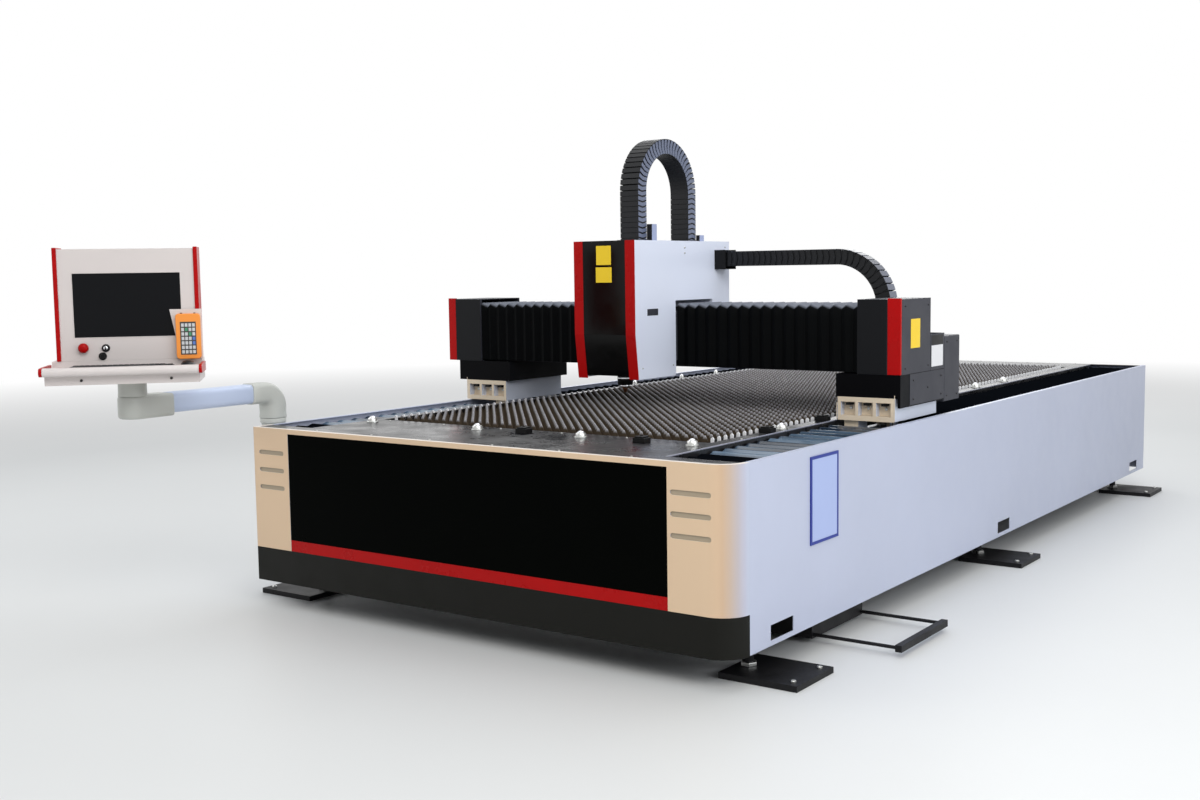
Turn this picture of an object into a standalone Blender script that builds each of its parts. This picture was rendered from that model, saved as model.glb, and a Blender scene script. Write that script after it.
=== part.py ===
"""Open flat-bed fibre laser cutting machine: welded bed, slat table, travelling gantry,
cutting head on its carriage, and an operator console on a swinging arm.

Metres, +Z up. The machine's length runs along Y, with its front at -Y, and the beam
runs along X. Everything is first placed about the middle of the bed on the floor, and
the whole is then moved so that the origin is the bottom centre of its bounding box.
"""

import math

import bmesh
import bpy
from mathutils import Matrix, Vector

# Sheet, clearances and general sizes
sheet = 0.003
touch = 0.0003
overrun = 0.02
weld = 0.00001
edge_round = 0.006
small_round = 0.002

# Body of the machine
body_width = 2.402
body_length = 5.257
body_half = body_width / 2
deck_height = 0.783
cover_bottom = 0.116
plinth_bottom = 0.113
corner_radius = 0.107
stripe_bottom = 0.259
stripe_height = 0.048
panel_drop = 0.02
panel_top = deck_height - panel_drop
panel_left_inset = 0.224
panel_right_inset = 0.264
panel_left = panel_left_inset - body_half
panel_right = body_half - panel_right_inset
panel_thickness = 0.004
top_lip = 0.0235
side_lip = 0.022
bottom_lip = 0.03

# Vent slots in the front cover, three each side
slot_height = 0.02
slot_drop = 0.106
slot_highest = deck_height - slot_drop
slot_pitch = 0.0755
slot_right_insets = (0.251, 0.088)
slot_left_insets = (0.041, 0.195)
slot_right = tuple(body_half - inset for inset in slot_right_insets)
slot_left = tuple(inset - body_half for inset in slot_left_insets)
slot_count = 3

# Feet, and the access holes in the side covers beside them
foot_place_shares = (-0.88834, -0.01902, 0.88644)
foot_inset = 0.001
foot_centre = body_half - foot_inset
foot_width = 0.31
foot_depth = 0.28
foot_thickness = 0.022
screw_radius = 0.018
access_place_shares = (-0.87122, 0.0, 0.90546)
access_length = 0.17
access_low = 0.134
access_high = 0.19

# Bed frame
beam_gap = 0.015
beam_outer = body_half - beam_gap
beam_widths = {"right": 0.321, "left": 0.281}
beam_inners = {name: beam_outer - width for name, width in beam_widths.items()}
rail_drop = 0.083
rail_ground = deck_height - rail_drop
beam_depth = 0.26
beam_low = rail_ground - beam_depth
frame_inset = 0.1085
frame_half_length = body_length / 2 - frame_inset
tube = 0.1
cross_low = 0.24
cross_height = 0.09
post_inset = 0.046
post_outer = beam_outer - post_inset
screw_centre = post_outer - tube / 2
drawer_ties = (-1.955, -1.395)
ledge_height = 0.04

# Linear rails and racks, seen from the rail's centre line outwards
gantry_centre = -0.022
rail_beam_inset = 0.214
rail_offset = beam_outer - rail_beam_inset
rail_half = 0.015
rail_height = 0.034
rail_waist = 0.004
rail_bar = 0.012
rail_strip = 0.006
strip_inner = 0.03
rack_near = 0.055
rack_width = 0.024
rack_height = 0.028
rail_inset = 0.07
rail_half_length = frame_half_length - rail_inset

# Deck plate and what stands on it
deck_right_inset = 0.329
deck_left_inset = 0.271
deck_right = body_half - deck_right_inset
deck_left = deck_left_inset - body_half
deck_thickness = 0.005
deck_rear_inset = 0.0335
deck_rear = body_length / 2 - deck_rear_inset
deck_end_front_inset = 0.0985
deck_end_front = deck_end_front_inset - body_length / 2
deck_end_rear_inset = 0.0585
deck_end_rear = body_length / 2 - deck_end_rear_inset
table_right_margin = 0.064
table_left_margin = 0.037
table_right = deck_right - table_right_margin
table_left = deck_left + table_left_margin
table_front_inset = 0.4985
table_front = table_front_inset - body_length / 2
table_rear_inset = 0.3785
table_rear = body_length / 2 - table_rear_inset
ball_radius = 0.017
ball_cup = 0.021
ball_base = 0.026
ball_base_height = 0.006
ball_cup_height = 0.018
front_ball_shares = (-0.71607, -0.20816, 0.2373, 0.66611)
front_balls = tuple(share * body_half for share in front_ball_shares)
front_ball_inset = 0.3885
front_ball_line = front_ball_inset - body_length / 2
side_balls = (-1.62, 0.57, 1.0)
right_ball_margin = 0.031
right_ball_line = deck_right - right_ball_margin
left_balls = (-0.1, 0.4, 0.8)
left_ball_margin = 0.017
left_ball_line = deck_left + left_ball_margin
left_ball_share = 0.6
ball_sides = 10
front_block_shares = (-0.00833, 0.48293)
front_block_offsets = (0.01, -0.01)
side_blocks = (-1.74, -1.25)
block_places = [
    (share * body_half, front_ball_line + offset)
    for share, offset in zip(front_block_shares, front_block_offsets)
]
block_places += [(right_ball_line, y) for y in side_blocks]
block_size = (0.055, 0.045, 0.025)

# Slat table
table_bar = 0.03
table_depth = 0.13
table_drop = 0.012
slat_count = 34
slat_thickness = 0.004
slat_rise = 0.03
slat_depth = 0.07
tooth_count = 15
tooth_flat_share = 0.22
comb_places_shares = (0.34, 0.67)

# Chute under the table, and the slag drawer below it
chute_gap = 0.015
chute_edge = beam_inners["right"] - chute_gap
chute_edge_drop = 0.14
chute_edge_height = rail_ground - chute_edge_drop
chute_flat = 0.42
chute_opening = (0.05, 0.4)
drawer_inner = 0.02
drawer_inset = 0.081
drawer_outer = body_half - drawer_inset
drawer_front = -1.9
drawer_back = -1.45
drawer_low = 0.02
drawer_rim = 0.092
drawer_lip = 0.03
handle_length = 0.365
handle_reach = drawer_outer + handle_length
handle_rod = 0.007
handle_grip = 0.013
handle_height = 0.034

# Sheet holder on the right side cover
holder_front = -2.077
holder_back = -1.85
holder_drop = 0.035
holder_length = 0.327
holder_high = deck_height - holder_drop
holder_low = holder_high - holder_length
holder_thickness = 0.005
holder_border = 0.011
paper_thickness = 0.0012

# Pleated way covers over the rails
way_pitch = 0.085
way_thickness = 0.0025
way_drop = 0.005
way_high = deck_height - way_drop
way_margin = 0.009
way_inner = deck_right + way_margin
way_outer_inset = 0.028
way_outer = body_half - way_outer_inset
way_front_gap = 0.005
way_front = deck_end_front + way_front_gap
way_rear_gap = 0.01
way_rear = deck_end_rear - way_rear_gap

# Gantry saddles
saddle_front = -1.218
saddle_rear = -0.76
saddle_width = 0.256
saddle_inset = 0.021
saddle_outer = way_outer - saddle_inset
saddle_gap = 0.004
saddle_height = 0.1
saddle_low = deck_height + saddle_gap
saddle_high = saddle_low + saddle_height
pocket_count = 3
pocket_width = 0.066
pocket_height = 0.058
pocket_depth = 0.035
guide_length = 0.09
guide_inset = 0.02
guide_half = 0.032
guide_rise = 0.0125
guide_low = rail_ground + guide_rise
rail_clearance = 0.001

# Pinions under the saddles
pinion_radius = 0.032
pinion_shaft = 0.012
pinion_line = -1.0
pinion_seat = 0.03
pinion_clearance = 0.0005

# Gantry bases and end covers
base_height = 0.098
base_high = saddle_high + base_height
base_rear = -0.742
base_right_insets = (0.314, 0.021)
base_left_insets = (-0.045, 0.288)
base_right = tuple(body_half - inset for inset in base_right_insets)
base_left = tuple(inset - body_half for inset in base_left_insets)
base_skirt = 0.04
skirt_thickness = 0.012
end_front = -1.218
end_rear = -0.9
end_height = 0.315
end_high = base_high + end_height
end_right_insets = (0.216, 0.021)
end_left_insets = (-0.115, 0.101)
end_right = tuple(body_half - inset for inset in end_right_insets)
end_left = tuple(inset - body_half for inset in end_left_insets)
trim_width = 0.06
trim_left_width = 0.05
trim_thickness = 0.012
trim_rise = 0.004

# Drive box behind the right end cover
drive_inset = 0.191
drive_inner = body_half - drive_inset
drive_rear = -0.556
drive_drop = 0.052
drive_low = saddle_high - drive_drop
drive_rise = 0.142
drive_high = base_high + drive_rise

# Gantry beam with its two rails
beam_y_front = -1.135
beam_y_rear = -0.925
beam_height = 0.27
beam_z_high = base_high + beam_height
beam_wall = 0.014
beam_end_inset = 0.05
x_rail_size = 0.022
x_rail_rises = (0.055, 0.215)

# Bellows on the beam
bellows_front = -1.21
bellows_rise = 0.296
bellows_top = base_high + bellows_rise
bellows_lift = 0.007
bellows_low = base_high + bellows_lift
bellows_rear = -0.915
bellows_wall = 0.004
bellows_pleat = 0.014
bellows_pitch = 0.05

# Chain along the beam, and its tray
x_chain_front = -0.865
x_chain_rear = -0.79
x_chain_rise = 0.533
x_chain_top = base_high + x_chain_rise
x_chain_height = 0.065
x_chain_inset = 0.205
x_chain_apex = body_half - x_chain_inset
x_chain_low_end = 0.1
x_chain_pitch = 0.06
chain_groove = 0.012
chain_slot = 0.006
chain_tray_front = -0.897
chain_tray_rear = -0.742
chain_tray_height = 0.157
chain_tray_high = base_high + chain_tray_height

# Carriage and head cover
head_left = -0.245
head_right = 0.085
head_front = -1.555
head_rise = 0.582
head_high = base_high + head_rise
head_clearance = 0.168
head_low = deck_height + head_clearance
head_slant_rise = 0.165
head_slant_start = base_high + head_slant_rise
head_slant = 0.024
head_back = -1.226
head_rear = -0.74
head_notch_rise = 0.31
head_notch_top = base_high + head_notch_rise
head_notch_rear = -0.9
head_rear_rise = 0.215
head_rear_low = base_high + head_rear_rise
head_stripe = 0.05
head_panel_rise = 0.014
head_panel_low = head_low + head_panel_rise
carriage_thickness = 0.02
carriage_rise = 0.015
carriage_low = base_high + carriage_rise
carriage_length = 0.265
carriage_high = carriage_low + carriage_length
block_grip = 0.03
handle_y = (-1.46, -1.37)
handle_rise = 0.247
handle_width = 0.03
handle_z = (base_high + handle_rise, base_high + handle_rise + handle_width)

# Cutting head on its slide
head_axis_y = -1.4
tool_half = 0.045
tool_rise = 0.024
tool_low = head_low + tool_rise
tool_length = 0.385
tool_high = tool_low + tool_length
slide_half = 0.07
slide_thickness = 0.018
collar_radius = 0.034
collar_drop = 0.06
collar_low = tool_low - collar_drop
nozzle_radius = 0.02
nozzle_tip = 0.005
nozzle_length = 0.037
nozzle_low = collar_low - nozzle_length

# Arched chain over the head
z_chain_outer = 0.24
z_chain_height = 0.07
z_chain_front = -1.34
z_chain_rise = 0.238
z_chain_centre_height = head_high + z_chain_rise
z_chain_left = -0.14
z_chain_right = -0.04
z_chain_pitch = 0.06

# Console arm on the left side
post_reach = 0.104
post_x = -body_half - post_reach
post_y = -2.42
post_radius = 0.052
post_low = 0.42
post_top = 0.8
flange_radius = 0.062
bracket_heights = (0.48, 0.68)
bracket_height = 0.06
bracket_plate = 0.012
elbow_rise = 0.068
arm_depth = 0.094
arm_low = post_top + elbow_rise
arm_high = arm_low + arm_depth
arm_half = 0.046
elbow_reach = 0.14
elbow_bend = 0.075
elbow_end = post_y - elbow_reach
console_x = post_x
console_y = -3.146
knuckle_reach = 0.161
arm_end = console_y + knuckle_reach
column_radius = 0.055
console_yaw = 48.0

# Console, in its own frame: x to the right, front at -y
panel_half = 0.257
panel_middle = 0.0075
console_front = -0.1
console_depth = 0.13
console_rise = 0.083
console_height = 0.44
column_rise = 0.063
tray_foot = arm_high + column_rise
console_low = tray_foot + console_rise
console_high = console_low + console_height
screen_left = -0.196
screen_right = 0.211
screen_rise = 0.092
screen_height = 0.252
screen_low = console_low + screen_rise
screen_high = screen_low + screen_height
screen_recess = 0.005
strip_thickness = 0.016
strip_proud = 0.006
tray_front = -0.33
tray_half = 0.298
tray_middle = 0.0
tray_nose_lift = 0.037
tray_nose_height = 0.033
tray_nose_low = tray_foot + tray_nose_lift
tray_nose_high = tray_nose_low + tray_nose_height
tray_nose_back = 0.0215
tray_sill = 0.055
tray_sink = 0.018
tray_top = tray_nose_high - tray_sink
cheek = 0.012
board_width = 0.386
board_depth = 0.13
board_thickness = 0.01
key_height = 0.005
board_middle = -0.013
key_rows = 5
mouse_length = 0.1
mouse_half = 0.03
mouse_height = 0.03
mouse_place = 0.235
button_radius = 0.02
button_height = 0.022
stop_offset = (-0.164, 0.051)
switch_offset = (-0.081, 0.049)
dial_offset = (-0.094, 0.017)
knob_radius = 0.014
knob_height = 0.016
bezel_share = 0.62
stem_share = 0.6
press_travel = 0.006
remote_left = 0.19
remote_right = 0.285
remote_low = console_low
remote_height = 0.18
remote_high = remote_low + remote_height
remote_thickness = 0.028
remote_plate = 0.004
remote_margin = 0.018
remote_key_share = 0.64

# Shares and counts for rounding
arc_steps = 6
round_sides = 20
fine_sides = 28

paints = {
    "off_white": ((0.80, 0.76, 0.70), 0.42, 0.0),
    "white": ((0.78, 0.80, 0.84), 0.4, 0.0),
    "gloss_black": ((0.012, 0.012, 0.012), 0.08, 0.0),
    "red": ((0.45, 0.012, 0.01), 0.3, 0.0),
    "charcoal": ((0.03, 0.03, 0.032), 0.45, 0.0),
    "black_steel": ((0.02, 0.02, 0.022), 0.5, 0.3),
    "grey": ((0.09, 0.09, 0.1), 0.5, 0.0),
    "slat_steel": ((0.13, 0.11, 0.1), 0.5, 0.7),
    "bright_steel": ((0.6, 0.6, 0.62), 0.25, 1.0),
    "rubber_black": ((0.015, 0.015, 0.017), 0.7, 0.0),
    "screen_glass": ((0.012, 0.012, 0.014), 0.12, 0.0),
    "blue": ((0.03, 0.1, 0.35), 0.4, 0.0),
    "paper": ((0.6, 0.68, 0.85), 0.7, 0.0),
    "cast_grey": ((0.62, 0.62, 0.57), 0.5, 0.0),
    "orange": ((0.75, 0.24, 0.02), 0.5, 0.0),
    "copper": ((0.75, 0.33, 0.18), 0.3, 1.0),
}

body_front = -body_length / 2
body_rear = body_length / 2
seam = body_front + corner_radius
deck_front = body_front + top_lip + touch
deck_end_half = body_half - side_lip - touch
rail_foot = rail_ground + touch
rail_base = rail_foot + rail_strip
way_low = rail_base + rail_height + touch + way_thickness
foot_places = tuple(share * body_rear for share in foot_place_shares)
access_places = tuple(share * body_rear for share in access_place_shares)
x_rail_places = tuple(base_high + rise for rise in x_rail_rises)
sides = {"right": 1, "left": -1}


def collection(name):
    """The collection of that name, made on first use."""
    if name not in bpy.data.collections:
        bpy.context.scene.collection.children.link(bpy.data.collections.new(name))
    return bpy.data.collections[name]


def clear_scene():
    """Removes whatever the scene starts with."""
    for thing in list(bpy.data.objects):
        bpy.data.objects.remove(thing, do_unlink=True)


def material(slot):
    """The Principled material of one paint."""
    if slot not in bpy.data.materials:
        colour, roughness, metallic = paints[slot]
        made = bpy.data.materials.new(slot)
        made.use_nodes = True
        shader = made.node_tree.nodes["Principled BSDF"]
        shader.inputs["Base Color"].default_value = (*colour, 1)
        shader.inputs["Roughness"].default_value = roughness
        shader.inputs["Metallic"].default_value = metallic
    return bpy.data.materials[slot]


def new_object(name, mesh):
    """An object for a mesh, in the machine's collection."""
    thing = bpy.data.objects.new(name, mesh)
    collection("laser_cutting_machine").objects.link(thing)
    return thing


def finish(thing, slot, round_edges=0, smooth=False):
    """Paints a piece, and gives its outer edges a small round."""
    thing.data.materials.clear()
    thing.data.materials.append(material(slot))
    if round_edges:
        bevel = thing.modifiers.new("rounded edges", "BEVEL")
        bevel.width = round_edges
        bevel.segments = 2
        bevel.limit_method = "ANGLE"
        bevel.angle_limit = math.radians(50)
    if smooth:
        thing.data.shade_smooth()
        thing.data.set_sharp_from_angle(angle=math.radians(40))
    return thing


def boxes(name, spans):
    """Boxes that stand apart, in one mesh. A span is the low corner and the high one."""
    shape = bmesh.new()
    for low, high in spans:
        low = Vector(low)
        high = Vector(high)
        size = Matrix.Diagonal((*(high - low), 1))
        place = Matrix.Translation((low + high) / 2) @ size
        bmesh.ops.create_cube(shape, size=1, matrix=place)
    return from_bmesh(name, shape)


def from_bmesh(name, shape):
    """An object of what a bmesh holds."""
    mesh = bpy.data.meshes.new(name)
    shape.to_mesh(mesh)
    shape.free()
    return new_object(name, mesh)


def box(name, low, high):
    """One box."""
    return boxes(name, [(low, high)])


turns = {
    "z": Matrix.Identity(3),
    "x": Matrix(((0, 0, 1), (1, 0, 0), (0, 1, 0))),
    "y": Matrix(((1, 0, 0), (0, 0, -1), (0, 1, 0))),
}


def extruded(name, outline, low, high, along):
    """A flat outline swept from low to high along an axis. Along z the outline's points
    are (x, y), along x they are (y, z), and along y they are (x, z)."""
    curve = bpy.data.curves.new(name, "CURVE")
    curve.dimensions = "2D"
    curve.fill_mode = "BOTH"
    curve.extrude = (high - low) / 2
    spline = curve.splines.new("POLY")
    spline.points.add(len(outline) - 1)
    for point, (u, v) in zip(spline.points, outline):
        point.co = (u, v, 0, 1)
    spline.use_cyclic_u = True
    flat = new_object(name + " outline", curve)
    mesh = bpy.data.meshes.new_from_object(
        flat.evaluated_get(bpy.context.evaluated_depsgraph_get())
    )
    bpy.data.objects.remove(flat, do_unlink=True)
    place = Matrix.Translation(axis_vector(along) * (low + high) / 2)
    mesh.transform(place @ turns[along].to_4x4())
    shape = bmesh.new()
    shape.from_mesh(mesh)
    bmesh.ops.remove_doubles(shape, verts=shape.verts, dist=weld)
    bmesh.ops.recalc_face_normals(shape, faces=shape.faces)
    return from_bmesh(name, shape)


def axis_vector(along):
    """The unit vector of an axis letter."""
    return Vector([float(letter == along) for letter in "xyz"])


def rods(name, radius, places, low, high, along, count=round_sides, top_radius=None):
    """Round bars from low to high along an axis, one at each place across it."""
    shape = bmesh.new()
    for u, v in places:
        at = turns[along] @ Vector((u, v, 0)) + axis_vector(along) * (low + high) / 2
        if along == "y":
            at = Vector((u, (low + high) / 2, v))
        bmesh.ops.create_cone(
            shape,
            cap_ends=True,
            segments=count,
            radius1=radius,
            radius2=radius if top_radius is None else top_radius,
            depth=high - low,
            matrix=Matrix.Translation(at) @ turns[along].to_4x4(),
        )
    return from_bmesh(name, shape)


def combine(target, tool, operation):
    """Joins, or cuts away, a tool by a Boolean modifier that stays on the target."""
    for holder in list(tool.users_collection):
        holder.objects.unlink(tool)
    collection("cutters").objects.link(tool)
    tool.hide_render = True
    tool.display_type = "WIRE"
    change = target.modifiers.new(tool.name, "BOOLEAN")
    change.operation = operation
    change.solver = "EXACT"
    change.object = tool
    return target


def cut(target, *tools):
    """Cuts each tool away from the target."""
    for tool in tools:
        combine(target, tool, "DIFFERENCE")
    return target


def join(target, *tools):
    """Joins each tool to the target."""
    for tool in tools:
        combine(target, tool, "UNION")
    return target


def turned(name, profile, centre, count=round_sides):
    """A profile of (radius, height) points, from the top down its outer side and ending
    on the axis, turned about a vertical axis through the centre."""
    mesh = bpy.data.meshes.new(name)
    points = [(radius, 0, height) for radius, height in profile]
    lines = [(i, i + 1) for i in range(len(points) - 1)]
    mesh.from_pydata(points, lines, [])
    thing = new_object(name, mesh)
    screw = thing.modifiers.new("turning", "SCREW")
    screw.steps = count
    screw.render_steps = count
    screw.use_merge_vertices = True
    screw.merge_threshold = weld
    thing.location = centre
    return thing


def arc(centre, radius, start, end, steps=arc_steps):
    """Points on an arc, from one angle to another in degrees."""
    angles = [math.radians(start + (end - start) * i / steps) for i in range(steps + 1)]
    return [
        (centre[0] + radius * math.cos(a), centre[1] + radius * math.sin(a)) for a in angles
    ]


def empty(name, place, parent):
    """An empty on a joint's axis, whose children are modelled in the machine's frame."""
    thing = bpy.data.objects.new(name, None)
    collection("laser_cutting_machine").objects.link(thing)
    thing["place"] = place
    thing.location = Vector(place) - (Vector(parent["place"]) if parent else Vector())
    thing.parent = parent
    return thing


def attach(parent, *pieces):
    """Hangs pieces, and the tools of their Booleans, on an empty."""
    for piece in pieces:
        tools = [change.object for change in piece.modifiers if change.type == "BOOLEAN"]
        piece.parent = parent
        piece.location = piece.location - Vector(parent["place"])
        attach(parent, *tools)


def mirrored(span, side):
    """A span to the right of the gantry's middle, or its mirror image to the left."""
    near, far = (gantry_centre + side * (value - gantry_centre) for value in span)
    return min(near, far), max(near, far)


def end_outline(half, line, radius, rear):
    """A front end with two rounded corners, seen from above."""
    left = arc((-half + radius, line + radius), radius, 180, 270)
    right = arc((half - radius, line + radius), radius, 270, 360)
    return [(-half, rear), *left, *right, (half, rear)]


def front_outline(inset):
    """The rounded front end of the body, seen from above and set in from its skin."""
    return end_outline(body_half - inset, body_front + inset, corner_radius - inset, seam)


def lip_opening(name, side, front, height):
    """What is cut from a level sheet of the front end inside its lips."""
    outline = end_outline(
        body_half - side, body_front + front, corner_radius - side, seam + overrun
    )
    return extruded(name, outline, height - overrun, height + overrun, "z")


def front_inner_outline():
    """The same end set in by the sheet, run on past the seam so that it stays open."""
    outline = front_outline(sheet)
    half = body_half - sheet
    return [(-half, seam + overrun), *outline[1:-1], (half, seam + overrun)]


def make_front_cover(base):
    """Sheet cover round the front end, with the panel's window and the vent slots."""
    low = stripe_bottom + touch
    cover = extruded("front_cover", front_outline(0), low, deck_height, "z")
    hollow = extruded(
        "front cover hollow", front_inner_outline(), low - overrun, deck_height - sheet, "z"
    )
    deck_opening = lip_opening("front cover deck opening", side_lip, top_lip, deck_height)
    window = box(
        "front cover window",
        (panel_left, body_front - overrun, low - overrun),
        (panel_right, body_front + sheet + touch, panel_top),
    )
    rows = range(slot_count)
    slot_spans = [slot_span(row, ends) for row in rows for ends in (slot_left, slot_right)]
    slots = boxes("front cover slots", slot_spans)
    cut(cover, hollow, deck_opening, window, slots)
    attach(base, finish(cover, "off_white", smooth=True))


def slot_span(row, ends):
    """The box that cuts one vent slot."""
    middle = slot_highest - row * slot_pitch
    low = (ends[0], body_front - overrun, middle - slot_height / 2)
    return low, (ends[1], body_front + overrun, middle + slot_height / 2)


def make_plinth(base):
    """Dark kick plate below the front cover, on the same outline."""
    plinth = extruded("plinth", front_outline(0), plinth_bottom, stripe_bottom, "z")
    hollow = extruded(
        "plinth hollow", front_inner_outline(), plinth_bottom - overrun, stripe_bottom - sheet, "z"
    )
    way_in = lip_opening("plinth way in", bottom_lip, bottom_lip, stripe_bottom)
    cut(plinth, hollow, way_in)
    attach(base, finish(plinth, "charcoal", smooth=True))


def make_front_panel(base):
    """Gloss panel in the cover's window, with the stripe under it."""
    stripe_top = stripe_bottom + stripe_height
    back = body_front + panel_thickness
    front = body_front + small_round / 2
    panel = box(
        "front_panel",
        (panel_left + touch, front, stripe_top + touch),
        (panel_right - touch, back, panel_top - touch),
    )
    stripe = box(
        "front_stripe",
        (panel_left + touch, front, stripe_bottom + touch),
        (panel_right - touch, back, stripe_top),
    )
    attach(base, finish(panel, "gloss_black"), finish(stripe, "red"))


def make_side_covers(base):
    """Long folded side covers, with a hole beside each foot."""
    for name, side in sides.items():
        outline = [
            (body_half, cover_bottom),
            (body_half, deck_height),
            (body_half - side_lip, deck_height),
            (body_half - side_lip, deck_height - sheet),
            (body_half - sheet, deck_height - sheet),
            (body_half - sheet, cover_bottom + sheet),
            (body_half - bottom_lip, cover_bottom + sheet),
            (body_half - bottom_lip, cover_bottom),
        ]
        outline = [(side * x, z) for x, z in outline]
        cover = extruded(f"{name}_side_cover", outline, seam + touch, body_rear, "y")
        spans = []
        for place in access_places:
            across = sorted((side * (body_half - overrun), side * (body_half + overrun)))
            low = (across[0], place - access_length / 2, access_low)
            spans.append((low, (across[1], place + access_length / 2, access_high)))
        cut(cover, boxes(f"{name} access holes", spans))
        attach(base, finish(cover, "white"))


def make_rear_cover(base):
    """Plain folded cover across the rear, between the side covers."""
    half = body_half - sheet - touch
    outline = [
        (body_rear, cover_bottom + sheet + touch),
        (body_rear, deck_height - sheet - touch),
        (body_rear - bottom_lip, deck_height - sheet - touch),
        (body_rear - bottom_lip, deck_height - sheet - sheet),
        (body_rear - sheet, deck_height - sheet - sheet),
        (body_rear - sheet, cover_bottom + sheet + touch),
    ]
    cover = extruded("rear_cover", outline, -half, half, "x")
    attach(base, finish(cover, "white"))


def make_bed_frame(base):
    """Welded frame of box beams, ties and posts, on its levelling feet."""
    length = frame_half_length
    beam_spans = []
    for name, side in sides.items():
        across = sorted((side * beam_inners[name], side * beam_outer))
        low = (across[0], -length, beam_low)
        beam_spans.append((low, (across[1], length, rail_ground)))
    frame = boxes("bed_frame", beam_spans)
    reach = max(beam_inners.values()) + overrun
    ends = []
    for end in (-1, 1):
        along = sorted((end * (length - touch), end * (length - tube)))
        low = (-reach, along[0], beam_low + tube)
        ends.append((low, (reach, along[1], rail_ground - overrun)))
    ledge_top = deck_height - table_drop - table_depth - touch
    ledges = []
    for inner, edge in ((beam_inners["right"], table_right), (-beam_inners["left"], table_left)):
        side = 1 if edge > 0 else -1
        across = sorted((edge - side * table_bar, inner + side * overrun))
        low = (across[0], table_front, ledge_top - ledge_height)
        ledges.append((low, (across[1], table_rear, ledge_top)))
    join(frame, boxes("table ledges", ledges))
    ties = [
        tie_span(place, post_outer - tube + overrun) for place in (*foot_places, *drawer_ties)
    ]
    join(frame, boxes("frame end tubes", ends))
    join(frame, boxes("frame posts", list(post_spans())))
    join(frame, boxes("frame cross ties", ties))
    add_feet(frame)
    add_runners(frame)
    attach(base, finish(frame, "black_steel"))


def tie_span(place, reach):
    """A cross tie between the posts."""
    low = (-reach, place - tube / 2, cross_low)
    return low, (reach, place + tube / 2, cross_low + cross_height)


def post_spans():
    """Posts from the long beams down to the feet and the drawer's ties."""
    foot_low = foot_thickness + tube
    for place in (*foot_places, *drawer_ties):
        low_end = foot_low if place in foot_places else cross_low - overrun
        for side in sides.values():
            across = sorted((side * post_outer, side * (post_outer - tube)))
            low = (across[0], place - tube / 2 - sheet, low_end)
            yield low, (across[1], place + tube / 2 + sheet, beam_low + overrun)


def add_feet(frame):
    """Levelling screws and floor plates under the posts."""
    places = [(side * screw_centre, y) for y in foot_places for side in sides.values()]
    low = foot_thickness / 2
    screws = rods("foot screws", screw_radius, places, low, foot_thickness + tube + overrun, "z", 12)
    spans = []
    for y in foot_places:
        for side in sides.values():
            middle = side * foot_centre
            corner = (middle - foot_width / 2, y - foot_depth / 2, 0)
            spans.append((corner, (middle + foot_width / 2, y + foot_depth / 2, foot_thickness)))
    join(frame, screws, boxes("floor plates", spans))


def add_runners(frame):
    """Angle runners that hang from the ties and carry the slag drawer."""
    hangers = []
    ledges = []
    foot = drawer_rim - sheet - touch - sheet
    for y, side in ((drawer_front, -1), (drawer_back, 1)):
        wall = sorted((y + side * (drawer_lip + touch), y + side * (drawer_lip + tube / 4)))
        ledge = sorted((y + side * sheet, y + side * (drawer_lip + sheet + touch)))
        hangers.append(
            ((drawer_inner, wall[0], foot), (drawer_outer, wall[1], cross_low + overrun))
        )
        ledges.append(((drawer_inner, ledge[0], foot), (drawer_outer, ledge[1], foot + sheet)))
    join(frame, boxes("drawer hangers", hangers), boxes("drawer ledges", ledges))


def make_slag_chute(base):
    """Bent sheet under the slat table that leads waste down to the drawer."""
    floor = cross_low + cross_height + touch
    outline = [
        (-chute_edge, chute_edge_height),
        (-chute_flat, floor),
        (chute_flat, floor),
        (chute_edge, chute_edge_height),
        (chute_edge, chute_edge_height + sheet),
        (chute_flat, floor + sheet),
        (-chute_flat, floor + sheet),
        (-chute_edge, chute_edge_height + sheet),
    ]
    chute = extruded("slag_chute", outline, table_front, table_rear, "y")
    opening = box(
        "chute opening",
        (chute_opening[0], drawer_front, floor - overrun),
        (chute_opening[1], drawer_back, floor + overrun),
    )
    attach(base, finish(cut(chute, opening), "black_steel"))


def make_rails(base):
    """Ground strip, guide rail and rack of each side, as one profile."""
    for name, side in sides.items():
        strip = rail_base
        waist = rail_half - rail_waist
        far = rack_near + rack_width
        outline = [
            (-strip_inner, rail_ground + touch),
            (far, rail_ground + touch),
            (far, strip + rack_height),
            (rack_near, strip + rack_height),
            (rack_near, strip),
            (rail_half, strip),
            (rail_half, strip + rail_bar),
            (waist, strip + rail_bar + rail_waist),
            (waist, strip + rail_height - rail_bar),
            (rail_half, strip + rail_height - rail_bar + rail_waist),
            (rail_half, strip + rail_height),
            (-rail_half, strip + rail_height),
            (-rail_half, strip + rail_height - rail_bar + rail_waist),
            (-waist, strip + rail_height - rail_bar),
            (-waist, strip + rail_bar + rail_waist),
            (-rail_half, strip + rail_bar),
            (-rail_half, strip),
            (-strip_inner, strip),
        ]
        centre = gantry_centre + side * rail_offset
        placed = [(centre + side * x, z) for x, z in outline]
        rail = extruded(f"{name}_rail_and_rack", placed, -rail_half_length, rail_half_length, "y")
        attach(base, finish(rail, "bright_steel"))


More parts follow.
